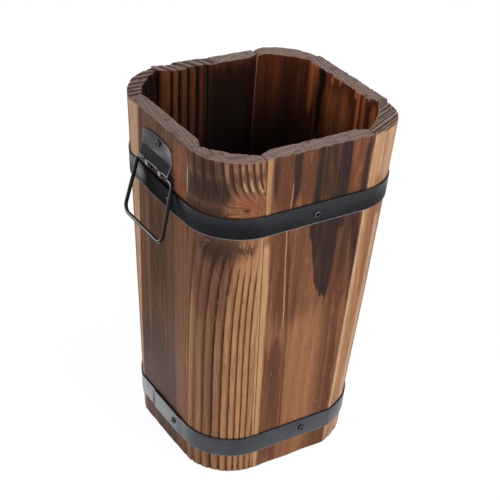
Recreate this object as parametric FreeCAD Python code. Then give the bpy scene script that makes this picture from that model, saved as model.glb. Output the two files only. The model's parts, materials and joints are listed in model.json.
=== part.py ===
import FreeCAD, Part
import math
import os

Vector = FreeCAD.Vector
Placement = FreeCAD.Placement
Rotation = FreeCAD.Rotation

# Tub: a square with rounded corners that widens towards the rim. All sizes are in millimetres.
pot_height = 406.0
top_half_width = 121.0  # from the middle to the outer face of a side stave, at the rim
bottom_half_width = 105.0  # the same at the foot
corner_radius = 56.6  # quarter-round outer face of a corner stave
stave_thickness = 19.0
corner_edge_depth = 13.5  # how deep a corner stave's edge lies against its neighbour
corner_middle = 22.5  # thickness in the middle of a corner stave, whose inner face is hollowed
inner_bevel = 13.0  # along a side stave's inner edges, down to the depth of the corner staves' edges
arris = 0.8  # bevel along the outer long edges
rim_bevel = 1.6  # worn edges of the rim

# Floor: two planks behind the lower band, with a gap that drains the pot.
floor_thickness = 16.0
floor_fit = 0.2  # room between the planks and the staves
drain_gap = 6.0

# Steel bands.
band_width = 24.0
band_thickness = 1.2
band_clearance = 0.15  # between a band and the staves
lap_clearance = 0.1  # between the two ends of a band
upper_band_below_rim = 77.0  # to the middle of the band
lower_band_above_foot = 37.5
lap_tip = -17.0  # where the outer end stops, to the left of the face's middle
lap_heel = 33.0  # where the inner end stops, to the right of the middle
lap_ramp = 2.0  # past the heel, the outer end starts to step down to the stave

# Wood screws with a pan head.
screw_head_radius = 4.0
screw_head_height = 2.4
screw_crown_radius = 2.6  # flat top of the head
screw_crown_drop = 1.2  # from there down to the head's straight side
screw_shank_radius = 2.0
screw_tip = 5.0
screw_point_radius = 0.4
screw_cover = 3.0  # wood left behind the tip of a short screw
screw_bite = 12.0  # depth that a long screw reaches into the floor
pilot_clearance = 0.05
hole_clearance = 0.2  # in steel
upper_screw_shift = 0.0  # to the right of the face's middle, seen from outside
lower_screw_shift = 13.0
lap_screw_shift = 28.0
plate_screw_shift = 4.5

# Drop handles: a bent sheet plate whose two tongues curl round the ends of a wire bail.
pivot_below_rim = 54.0
plate_half_width = 30.5
plate_sheet = 1.0
plate_bend = 1.5  # inside radius of the plate's bends
crease_rise = 17.0  # above the pivot: where the flange becomes the hood
lip_rise = 5.0  # lower edge of the hood
flange_shoulder_rise = 34.0  # top corners of the flange
flange_top_rise = 42.0  # top of its arched edge
flange_corner = 6.0
plate_screw_rise = 31.0
tongue_shift = 14.0  # from the middle of the plate
tongue_width = 5.0
tongue_slit = 1.0
tongue_slit_depth = 5.0
tongue_end_rise = 2.0  # how far the curl comes up again behind the wire

wire_radius = 2.1
wire_clearance = 0.06  # running fit in the tongues
bail_top_half = 37.0
bail_bottom_half = 41.5
bail_drop = 66.5
bail_top_bend = 5.5
bail_bottom_bend = 9.0
bail_end_half = 7.0  # half the gap between the wire's two ends
bail_rest_angle = 12.3  # how far the bail stands out from hanging straight

round_sides = 14  # flats round a screw or a wire
cut_margin = 1.0  # how far a cutting shape runs past what it cuts
tolerance = 0.001

# Values that follow from the ones above.
taper = (top_half_width - bottom_half_width) / pot_height
taper_angle = math.degrees(math.atan(taper))
level_thickness = stave_thickness / math.cos(math.radians(taper_angle))
pivot_height = pot_height - pivot_below_rim
upper_band_height = pot_height - upper_band_below_rim
curl_radius = wire_radius + wire_clearance
pivot_out = curl_radius + plate_sheet  # the back of each curl lies on the stave
lap_rise = band_thickness + lap_clearance
band_reach = band_clearance + band_thickness
short_bite = stave_thickness - screw_cover
long_bite = stave_thickness + screw_bite
side_turns = {"front": 0, "right": 90, "rear": 180, "left": -90}
corner_turns = {"front_left": 0, "front_right": 90, "rear_right": 180, "rear_left": -90}


def half_width(height):
    return bottom_half_width + taper * height


def side_half(height):
    return half_width(height) - corner_radius


def turned(shape, angle):
    copy = shape.copy()
    copy.rotate(Vector(0, 0, 0), Vector(0, 0, 1), angle)
    return copy


def on_side(side, along, height):
    # Frame on a side's outer face: X to the right, Y up the slope, Z outwards.
    spot = Vector(along, -half_width(height), height)
    lean = Placement(spot, Rotation(Vector(1, 0, 0), 90 + taper_angle))
    return Placement(Vector(0, 0, 0), Rotation(Vector(0, 0, 1), side_turns[side])).multiply(lean)


def placed(shape, placement):
    copy = shape.copy()
    copy.Placement = placement.multiply(copy.Placement)
    return copy


def flat_solid(lower, upper):
    # Closed solid between two outlines that run anticlockwise, seen from above.
    count = len(lower)
    foot = lower[::-1]
    faces = [Part.Face(Part.makePolygon(outline + outline[:1])) for outline in (foot, upper)]
    for i in range(count):
        j = (i + 1) % count
        faces.append(Part.Face(Part.makePolygon([lower[i], lower[j], upper[j], upper[i], lower[i]])))
    return Part.Solid(Part.Shell(faces))


def eased_rim(stave):
    # Bevels the outer and the inner edge of the rim, not the joints between staves.
    top = stave.BoundBox.ZMax
    rim = [edge for edge in stave.Edges if edge.BoundBox.ZMin > top - tolerance]
    long_edges = [edge for edge in rim if edge.Length > corner_edge_depth]
    return stave.makeChamfer(rim_bevel, long_edges).Solids[0]


def rounded_path(points, radii):
    # Straight runs joined by tangent arcs, one radius for each inner point.
    edges = []
    start = points[0]
    for i, radius in enumerate(radii, 1):
        back = (points[i - 1] - points[i]).normalize()
        ahead = (points[i + 1] - points[i]).normalize()
        half_turn = back.getAngle(ahead) / 2
        reach = radius / math.tan(half_turn)
        middle = points[i] + (back + ahead).normalize() * (radius / math.sin(half_turn) - radius)
        before = points[i] + back * reach
        after = points[i] + ahead * reach
        if start.distanceToPoint(before) > tolerance:
            edges.append(Part.LineSegment(start, before).toShape())
        edges.append(Part.Arc(before, middle, after).toShape())
        start = after
    edges.append(Part.LineSegment(start, points[-1]).toShape())
    return edges


# Wood screws


def ring(radius, height):
    turns = [2 * math.pi * i / round_sides for i in range(round_sides)]
    return [Vector(radius * math.cos(turn), radius * math.sin(turn), height) for turn in turns]


def screw(reach):
    # Pan head on the plane Z = 0, with the shank below it.
    side_top = screw_head_height - screw_crown_drop
    shank_end = screw_tip - reach
    head = flat_solid(ring(screw_head_radius, 0), ring(screw_head_radius, side_top))
    crown = flat_solid(ring(screw_head_radius, side_top), ring(screw_crown_radius, screw_head_height))
    shank = flat_solid(ring(screw_shank_radius, shank_end), ring(screw_shank_radius, 0))
    tip = flat_solid(ring(screw_point_radius, -reach), ring(screw_shank_radius, shank_end))
    return head.fuse([crown, shank, tip]).Solids[0]


def bore(radius, depth, above):
    return Part.makeCylinder(radius, depth + above, Vector(0, 0, -depth))


class Fixing:
    # One screw: the face that it enters, its place there, its seat above the face and its depth in wood.
    def __init__(self, side, along, height, seat, bite):
        self.side = side
        self.seat = seat
        self.bite = bite
        self.frame = on_side(side, along, height)

    def solid(self):
        lifted = Placement(Vector(0, 0, self.seat), Rotation())
        return placed(screw(self.seat + self.bite), self.frame.multiply(lifted))

    def pilot(self):
        return placed(bore(screw_shank_radius + pilot_clearance, self.bite, cut_margin), self.frame)

    def steel_hole(self):
        hole = bore(screw_shank_radius + hole_clearance, cut_margin, self.seat + cut_margin)
        return placed(hole, self.frame)


def band_fixings(height, shift, bite):
    plain = [Fixing(side, shift, height, band_reach, bite) for side in ("front", "right", "rear")]
    return plain + [Fixing("left", lap_screw_shift, height, band_reach + lap_rise, bite)]


def plate_fixing(side):
    return Fixing(side, plate_screw_shift, pivot_height + plate_screw_rise, plate_sheet, short_bite)


def bored(shape, fixings):
    for fixing in fixings:
        shape = shape.cut(fixing.pilot())
    return shape


def pierced(shape, fixings):
    for fixing in fixings:
        shape = shape.cut(fixing.steel_hole())
    return shape


# Staves and floor


def side_outline(height):
    outer = -half_width(height)
    inner = outer + level_thickness
    half = side_half(height)
    right = [
        Vector(half - arris, outer, height),
        Vector(half, outer + arris, height),
        Vector(half, outer + corner_edge_depth, height),
        Vector(half - inner_bevel, inner, height),
    ]
    left = [Vector(-point.x, point.y, height) for point in reversed(right)]
    return right + left


def side_stave(side, fixings):
    board = eased_rim(flat_solid(side_outline(0), side_outline(pot_height)))
    own = [fixing for fixing in fixings if fixing.side == side]
    return bored(turned(board, side_turns[side]), own)


def corner_stave(corner):
    # The section keeps its size and slides outwards along the diagonal as it rises.
    outer = half_width(0)
    half = side_half(0)
    bevel_turn = math.asin(arris / corner_radius)
    arc_ends = [bevel_turn, math.pi / 4, math.pi / 2 - bevel_turn]
    arc = [
        Vector(-half - corner_radius * math.cos(turn), -half - corner_radius * math.sin(turn), 0)
        for turn in arc_ends
    ]
    left_edge = [Vector(arris - outer, -half, 0), Vector(corner_edge_depth - outer, -half, 0)]
    front_edge = [Vector(point.y, point.x, 0) for point in left_edge]
    middle = -half - (corner_radius - corner_middle) * math.sqrt(0.5)
    hollow = Part.Arc(front_edge[1], Vector(middle, middle, 0), left_edge[1]).toShape()
    front_run = Part.makePolygon([arc[2]] + front_edge)
    left_run = Part.makePolygon(left_edge[::-1] + [arc[0]])
    section = Part.Wire([Part.Arc(*arc).toShape()] + front_run.Edges + [hollow] + left_run.Edges)
    slide = half - side_half(pot_height)
    stave = Part.Face(section).extrude(Vector(slide, slide, pot_height))
    return turned(eased_rim(stave), corner_turns[corner])


def floor_outline(height, turn):
    # Half of the octagon inside the staves, on one side of the drain gap.
    side = half_width(height) - level_thickness - floor_fit
    diagonal = half_width(height) + side_half(height) - corner_edge_depth - floor_fit * math.sqrt(2)
    cut = diagonal - side
    corners = [
        Vector(-side, -drain_gap / 2, height),
        Vector(-side, -cut, height),
        Vector(-cut, -side, height),
        Vector(cut, -side, height),
        Vector(side, -cut, height),
        Vector(side, -drain_gap / 2, height),
    ]
    spin = Rotation(Vector(0, 0, 1), turn)
    return [spin.multVec(corner) for corner in corners]


def floor_plank(turn, fixings):
    under = lower_band_above_foot - floor_thickness / 2
    plank = flat_solid(floor_outline(under, turn), floor_outline(under + floor_thickness, turn))
    return bored(plank, fixings)


# Bands


def band_side(height, offset):
    # One long side of the band in plan, from the lapped tip down the ramp and round the tub to the heel.
    half = side_half(height)
    outer = half_width(height) + offset
    radius = corner_radius + offset
    tip = Vector(lap_tip, -outer - lap_rise, height)
    ramp_top = Vector(lap_heel + lap_ramp, -outer - lap_rise, height)
    ramp_foot = Vector(half, -outer, height)
    edges = [Part.LineSegment(tip, ramp_top).toShape(), Part.LineSegment(ramp_top, ramp_foot).toShape()]
    for turn in (0, 90, 180, 270):
        spin = Rotation(Vector(0, 0, 1), turn)
        mid = half + radius * math.sqrt(0.5)
        arc = [ramp_foot, Vector(mid, -mid, height), Vector(outer, -half, height)]
        edges.append(Part.Arc(*[spin.multVec(point) for point in arc]).toShape())
        run_end = lap_heel if turn == 270 else half
        run = [Vector(outer, -half, height), Vector(outer, run_end, height)]
        edges.append(Part.LineSegment(*[spin.multVec(point) for point in run]).toShape())
    return edges


def band_outline(height):
    inner = band_side(height, band_clearance)
    outer = band_side(height, band_reach)
    tip = Part.LineSegment(inner[0].Vertexes[0].Point, outer[0].Vertexes[0].Point).toShape()
    heel = Part.LineSegment(inner[-1].Vertexes[-1].Point, outer[-1].Vertexes[-1].Point).toShape()
    return Part.Wire(Part.__sortEdges__(inner + outer + [tip, heel]))


def band(height, fixings):
    outlines = [band_outline(height + side * band_width / 2) for side in (-1, 1)]
    strap = Part.makeLoft(outlines, True, True)
    return pierced(turned(strap, side_turns["left"]), fixings)


# Drop handles


def sheet_profile(points, bends):
    # Section of a bent sheet in the Y-Z plane. The points run along the side next to the stave.
    runs = [(points[i + 1] - points[i]).normalize() for i in range(len(points) - 1)]
    normals = [Vector(0, run.z, -run.y) for run in runs]
    outer = [points[0] + normals[0] * plate_sheet]
    inner_radii = []
    outer_radii = []
    for i in range(1, len(points) - 1):
        mitre = (normals[i - 1] + normals[i]) * (plate_sheet / (1 + normals[i - 1].dot(normals[i])))
        outer.append(points[i] + mitre)
        opens = runs[i].dot(normals[i - 1]) > 0
        inner_radii.append(bends[i - 1] + (plate_sheet if opens else 0))
        outer_radii.append(bends[i - 1] + (0 if opens else plate_sheet))
    outer.append(points[-1] + normals[-1] * plate_sheet)
    edges = rounded_path(points, inner_radii) + rounded_path(outer, outer_radii)
    edges.append(Part.LineSegment(points[0], outer[0]).toShape())
    edges.append(Part.LineSegment(points[-1], outer[-1]).toShape())
    return Part.Wire(Part.__sortEdges__(edges))


def flange_outline(bottom):
    corners = [
        Vector(-plate_half_width, flange_shoulder_rise, 0),
        Vector(-plate_half_width, bottom, 0),
        Vector(plate_half_width, bottom, 0),
        Vector(plate_half_width, flange_shoulder_rise, 0),
    ]
    arch = Part.Arc(corners[0], Vector(0, flange_top_rise, 0), corners[3]).toShape()
    return Part.Wire([arch] + Part.makePolygon(corners).Edges)


def bent_strip():
    # Flange, hood and curl across the whole width of the plate.
    front = pivot_out + curl_radius
    back = pivot_out - curl_radius
    path = [
        Vector(0, flange_top_rise + cut_margin, 0),
        Vector(0, crease_rise, 0),
        Vector(0, lip_rise, front),
        Vector(0, -curl_radius, front),
        Vector(0, -curl_radius, back),
        Vector(0, tongue_end_rise, back),
    ]
    section = Part.Face(sheet_profile(path, [plate_bend, plate_bend, curl_radius, curl_radius]))
    section.translate(Vector(-plate_half_width, 0, 0))
    return section.extrude(Vector(2 * plate_half_width, 0, 0))


def hinge_plate(side):
    # The bent strip, trimmed to its front outline, loses all but two tongues below the hood's lip.
    below = -curl_radius - plate_sheet - cut_margin
    deep = pivot_out + curl_radius + plate_sheet + cut_margin
    plate = bent_strip().common(Part.Face(flange_outline(below)).extrude(Vector(0, 0, deep)))
    inner_edge = tongue_shift - tongue_width / 2
    outer_edge = tongue_shift + tongue_width / 2
    spans = [
        (-plate_half_width, -outer_edge, lip_rise),
        (-inner_edge, inner_edge, lip_rise),
        (outer_edge, plate_half_width, lip_rise),
    ]
    for edge in (-outer_edge - tongue_slit, -inner_edge, inner_edge - tongue_slit, outer_edge):
        spans.append((edge, edge + tongue_slit, lip_rise + tongue_slit_depth))
    for left, right, top in spans:
        waste = Part.makeBox(right - left, top - below, deep, Vector(left, below, 0))
        plate = plate.cut(waste)
    corners = [edge for edge in plate.Edges if is_flange_corner(edge)]
    plate = plate.makeFillet(flange_corner, corners).Solids[0]
    plate = placed(plate, on_side(side, 0, pivot_height))
    return pierced(plate, [plate_fixing(side)])


def is_flange_corner(edge):
    box = edge.BoundBox
    at_side = abs(abs(box.Center.x) - plate_half_width) < tolerance
    at_shoulder = abs(box.Center.y - flange_shoulder_rise) < tolerance
    return at_side and at_shoulder and box.ZLength > plate_sheet / 2


def bail(side):
    # The wire lies in a plane through the pivot, drawn here hanging along -Y, then swung out.
    half = [
        Vector(bail_end_half, 0, 0),
        Vector(bail_top_half, 0, 0),
        Vector(bail_bottom_half, -bail_drop, 0),
    ]
    path = half + [Vector(-point.x, point.y, 0) for point in reversed(half)]
    bends = [bail_top_bend, bail_bottom_bend, bail_bottom_bend, bail_top_bend]
    spine = Part.Wire(rounded_path(path, bends))
    facing = Placement(path[0], Rotation(Vector(0, 0, 1), Vector(1, 0, 0)))
    outline = [facing.multVec(point) for point in ring(wire_radius, 0)]
    wire = spine.makePipeShell([Part.makePolygon(outline + outline[:1])], True, False)
    hanging = Rotation(Vector(1, 0, 0), -taper_angle - bail_rest_angle)
    pivot = Placement(Vector(0, 0, pivot_out), hanging)
    return placed(wire, on_side(side, 0, pivot_height).multiply(pivot))


# Every piece under its own name

upper_fixings = band_fixings(upper_band_height, upper_screw_shift, short_bite)
lower_fixings = band_fixings(lower_band_above_foot, lower_screw_shift, long_bite)
plate_fixings = {side: plate_fixing(side) for side in ("left", "right")}
all_fixings = upper_fixings + lower_fixings + list(plate_fixings.values())

pieces = {}
for side in side_turns:
    pieces[side + "_stave"] = side_stave(side, all_fixings)
for corner in corner_turns:
    pieces[corner + "_corner_stave"] = corner_stave(corner)
pieces["front_floor_plank"] = floor_plank(0, lower_fixings)
pieces["rear_floor_plank"] = floor_plank(180, lower_fixings)
pieces["upper_band"] = band(upper_band_height, upper_fixings)
pieces["lower_band"] = band(lower_band_above_foot, lower_fixings)
pieces["upper_band_screws"] = Part.makeCompound([fixing.solid() for fixing in upper_fixings])
pieces["lower_band_screws"] = Part.makeCompound([fixing.solid() for fixing in lower_fixings])
for side, fixing in plate_fixings.items():
    pieces[side + "_hinge_plate"] = hinge_plate(side)
    pieces[side + "_plate_screw"] = fixing.solid()
    pieces[side + "_bail"] = bail(side)

os.makedirs("parts", exist_ok=True)
for name, shape in pieces.items():
    shape.exportStep("parts/" + name + ".step")
    volume = shape.Volume / 1000
    print(name, len(shape.Solids), "solid", shape.isValid(), "%.2f cm3" % volume, shape.BoundBox)
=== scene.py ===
import json
import math
from types import SimpleNamespace

import bmesh
import bpy
import numpy as np
from mathutils import Matrix, Vector


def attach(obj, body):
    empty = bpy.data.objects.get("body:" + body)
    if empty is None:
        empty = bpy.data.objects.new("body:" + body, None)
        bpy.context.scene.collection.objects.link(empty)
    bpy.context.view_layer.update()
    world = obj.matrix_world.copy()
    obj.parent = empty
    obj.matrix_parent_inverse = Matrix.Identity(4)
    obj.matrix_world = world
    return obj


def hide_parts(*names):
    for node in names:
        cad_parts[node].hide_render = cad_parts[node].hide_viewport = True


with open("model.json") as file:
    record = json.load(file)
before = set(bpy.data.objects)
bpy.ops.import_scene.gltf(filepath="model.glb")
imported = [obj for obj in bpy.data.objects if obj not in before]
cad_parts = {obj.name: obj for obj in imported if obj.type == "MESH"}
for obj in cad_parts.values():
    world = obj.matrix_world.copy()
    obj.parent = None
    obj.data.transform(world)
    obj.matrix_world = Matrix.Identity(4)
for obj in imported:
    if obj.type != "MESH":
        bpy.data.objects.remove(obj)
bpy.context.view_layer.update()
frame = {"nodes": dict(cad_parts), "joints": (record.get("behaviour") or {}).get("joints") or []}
scene = bpy.context.scene
print("frame:", len(frame["nodes"]), "CAD nodes")

# The tub's own sizes in millimetres, as in the CAD.
tub = dict(
    height=406.0,
    topHalf=121.0,
    footHalf=105.0,
    cornerRadius=56.6,
    thickness=19.0,
    cornerEdge=13.5,
    cornerMiddle=22.5,
    innerBevel=13.0,
    seamGap=0.12,  # each stave keeps this much off its neighbour
    bandWidth=24.0,
    bandHeights={"upper_band": 329.0, "lower_band": 37.5},  # to the middle of each band
)
taper = (tub["topHalf"] - tub["footHalf"]) / tub["height"]
tilt = math.atan(taper)
levelThickness = tub["thickness"] / math.cos(tilt)
millimetre = 0.001


def halfWidth(z):
    return tub["footHalf"] + taper * z


def sideHalf(z):
    return halfWidth(z) - tub["cornerRadius"]


def spun(turn):
    return Matrix.Rotation(math.radians(turn), 3, "Z")


def tint(code):
    # sRGB hex to the linear colour that Blender stores
    parts = [int(code[i:i + 2], 16) / 255 for i in (1, 3, 5)]
    return tuple(((c + 0.055) / 1.055) ** 2.4 if c > 0.04045 else c / 12.92 for c in parts) + (1.0,)


def ease(low, high, value):
    t = np.clip((value - low) / (high - low), 0, 1)
    return t * t * (3 - 2 * t)


def track(value, pairs):
    # reads a list of (place, amount) pairs, with straight runs between them
    return np.interp(value, *zip(*pairs))


def softNoise(a, b, sizeA, sizeB, seed):
    # smooth random field from -1 to 1, with cells of sizeA by sizeB
    side, shift = 97, 970  # cells before it repeats, and a shift that keeps places positive
    cells = np.random.default_rng(seed).uniform(-1, 1, (side, side))
    x = np.asarray(a) / sizeA + shift
    y = np.asarray(b) / sizeB + shift
    i = np.floor(x).astype(int)
    j = np.floor(y).astype(int)
    fx = ease(0, 1, x - i)
    fy = ease(0, 1, y - j)
    near = cells[i % side, j % side] * (1 - fx) + cells[(i + 1) % side, j % side] * fx
    far = cells[i % side, (j + 1) % side] * (1 - fx) + cells[(i + 1) % side, (j + 1) % side] * fx
    return near * (1 - fy) + far * fy


class Flow:
    # One socket of a node tree. Maths on it adds Math nodes.
    def __init__(self, tree, socket=None):
        self.tree = tree
        self.socket = socket

    def add(self, kind, links=None, out=0, **settings):
        # any node, with its inputs linked or set, as one of its outputs
        node = self.tree.nodes.new(kind)
        for key, value in settings.items():
            setattr(node, key, value)
        for key, value in (links or {}).items():
            if isinstance(value, Flow):
                self.tree.links.new(value.socket, node.inputs[key])
            else:
                node.inputs[key].default_value = value
        return Flow(self.tree, node.outputs[out] if len(node.outputs) else None)

    def beside(self, out):
        # another output of the same node
        return Flow(self.tree, self.socket.node.outputs[out])

    def maths(self, operation, *values):
        return self.add("ShaderNodeMath", dict(enumerate(values)), operation=operation)

    def __add__(self, other):
        return self.maths("ADD", self, other)

    def __radd__(self, other):
        return self.maths("ADD", other, self)

    def __sub__(self, other):
        return self.maths("SUBTRACT", self, other)

    def __rsub__(self, other):
        return self.maths("SUBTRACT", other, self)

    def __mul__(self, other):
        return self.maths("MULTIPLY", self, other)

    def __rmul__(self, other):
        return self.maths("MULTIPLY", other, self)

    def __truediv__(self, other):
        return self.maths("DIVIDE", self, other)

    def between(self, low, high):
        # 0 below low, 1 above high, eased in between
        links = {"Value": self, "From Min": low, "From Max": high}
        return self.add("ShaderNodeMapRange", links, interpolation_type="SMOOTHSTEP")

    def blend(self, a, b):
        # colours a and b, mixed by this value
        return self.add("ShaderNodeMix", {0: self, 6: a, 7: b}, out=2, data_type="RGBA")


def newMaterial(name):
    material = bpy.data.materials.new(name)
    material.use_nodes = True
    material.node_tree.nodes.clear()
    return material, Flow(material.node_tree)


def closeMaterial(flow, links):
    shader = flow.add("ShaderNodeBsdfPrincipled", links)
    flow.add("ShaderNodeOutputMaterial", {"Surface": shader})


def readLayer(flow, key):
    return flow.add("ShaderNodeAttribute", out=2, attribute_name=key)


def stretched(flow, scale, detail):
    # noise on Object coordinates, with its own scale on each axis
    coords = flow.add("ShaderNodeTexCoord", out=3)
    grown = flow.add("ShaderNodeVectorMath", {0: coords, 1: scale}, operation="MULTIPLY")
    return flow.add("ShaderNodeTexNoise", {"Vector": grown, "Scale": 1.0, "Detail": detail})


def plainMesh(name, spots, faces):
    mesh = bpy.data.meshes.new(name)
    mesh.from_pydata(spots, [], faces)
    return mesh


def makeObject(name, data):
    made = bpy.data.objects.new(name, data)
    scene.collection.objects.link(made)
    return made


def evaluatedMesh(piece):
    graph = bpy.context.evaluated_depsgraph_get()
    return bpy.data.meshes.new_from_object(piece.evaluated_get(graph), depsgraph=graph)


def smoothMesh(mesh, angle):
    mesh.polygons.foreach_set("use_smooth", np.ones(len(mesh.polygons), bool))
    mesh.set_sharp_from_angle(angle=math.radians(angle))


def setLayer(mesh, key, values):
    layer = mesh.attributes.new(key, "FLOAT", "POINT")
    layer.data.foreach_set("value", np.ascontiguousarray(values, np.float32).ravel())


def vertexValues(mesh, key):
    values = np.empty(3 * len(mesh.vertices), np.float32)
    mesh.vertices.foreach_get(key, values)
    return values.reshape(-1, 3)


def wrapFaces(rows, loop):
    # numbers of the vertices in rows that close on themselves, and the quads between the rows
    index = np.arange(rows * loop).reshape(rows, loop)
    ahead = np.roll(index, -1, axis=1)
    quads = np.stack([index[:-1], index[1:], ahead[1:], ahead[:-1]], -1)
    return index, quads.reshape(-1, 4).tolist()


def settle(piece, body, slot, *nodes):
    # The piece rides on its body in place of the CAD nodes named
    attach(piece, body)
    if nodes:
        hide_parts(*nodes)
    print("piece:", piece.name, len(piece.data.polygons), "faces")


# Staves

# Looks of the wood. A dark line starts at lineStart of the way from one growth ring to the next.
woodLooks = {
    "redBrown": dict(
        early="#a06c4a", earlyDark="#663e2b", late="#523123", pale="#c39469", warm="#a8663c", burntAndShade="#2a201f",
        end="#ab958d", endLine="#3d2d27", inside="#5e2f18", insideDark="#170b07", insideLight="#a85f36",
        lateAmount=0.22, lineStart=0.3, streaks=0.2, shade=(0.8, 1.1),
    ),
    "ridged": dict(
        early="#b27f57", earlyDark="#7a513d", late="#2f1e17", pale="#c59a70", warm="#8e4329", burntAndShade="#30241f",
        end="#988179", endLine="#2a1d17", inside="#5e2d16", insideDark="#110805", insideLight="#a06a4c",
        lateAmount=0.95, lineStart=0.44, streaks=0.4, shade=(0.7, 1.2),
    ),
    "greyBrown": dict(
        early="#7c5540", earlyDark="#503424", late="#402a1e", pale="#c89f82", warm="#9c5a34", burntAndShade="#291b13",
        end="#92807a", endLine="#46352f", inside="#4a2412", insideDark="#100805", insideLight="#8c4c28",
        lateAmount=0.16, lineStart=0.3, streaks=0.35, shade=(0.78, 1.14),
    ),
    "tan": dict(
        early="#c2946c", earlyDark="#9c6c4a", late="#86593c", pale="#d0aa8a", warm="#a8663c", burntAndShade="#4a382f",
        end="#a58d81", endLine="#2c1f19", inside="#6a3a20", insideDark="#1c100b", insideLight="#a36c42",
        lateAmount=0.45, lineStart=0.35, streaks=0.4, shade=(0.7, 1.2),
    ),
}

# Places are in millimetres from the middle of the stave's foot, seen from outside.
# Strips are (amount, softness, (height, left, right), ...), with softness a number or
# (left, right, ends, ragged). Calm strips have no dark lines. Splinters are ((across, height), ...).
# Knots are (across, up, size, strength, stretch), and sways bend the lines below (across, up).
# The rings cross the rim by lean for each millimetre of depth, or in straight slices at an angle.
# RimRise gives (across, rise) of the rim, drift (height, shift) of the rings, and flat (height, share)
# of a corner's way from quarter round to chamfer.
plainStave = dict(
    corner=False, turn=0,  # built as the front side or the front left corner, then turned
    topUp=0.0, rimRise=[(0, 0)], rimStep=0.3, rimRelief=0.8, rimLine=0.5, bite=1.2, topChar=0.0, teeth=0.3,
    lean=0.0, slices=None, pitch=10.0, lines=None, drift=[(0, 0)], wander=1.2, knots=[], sways=[],
    relief=0.3, innerRelief=0.3, groove=0.16, saw=0.2, ridges=(-99, 99), bevels=(1, 1), edges=(13.5, 13.5),
    flat=[(0, 0)], burnsAndShade=[], pales=[], tones=[], warms=[], calms=[], innerPales=[], innerBurns=[],
    splinters=[],
)
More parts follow.
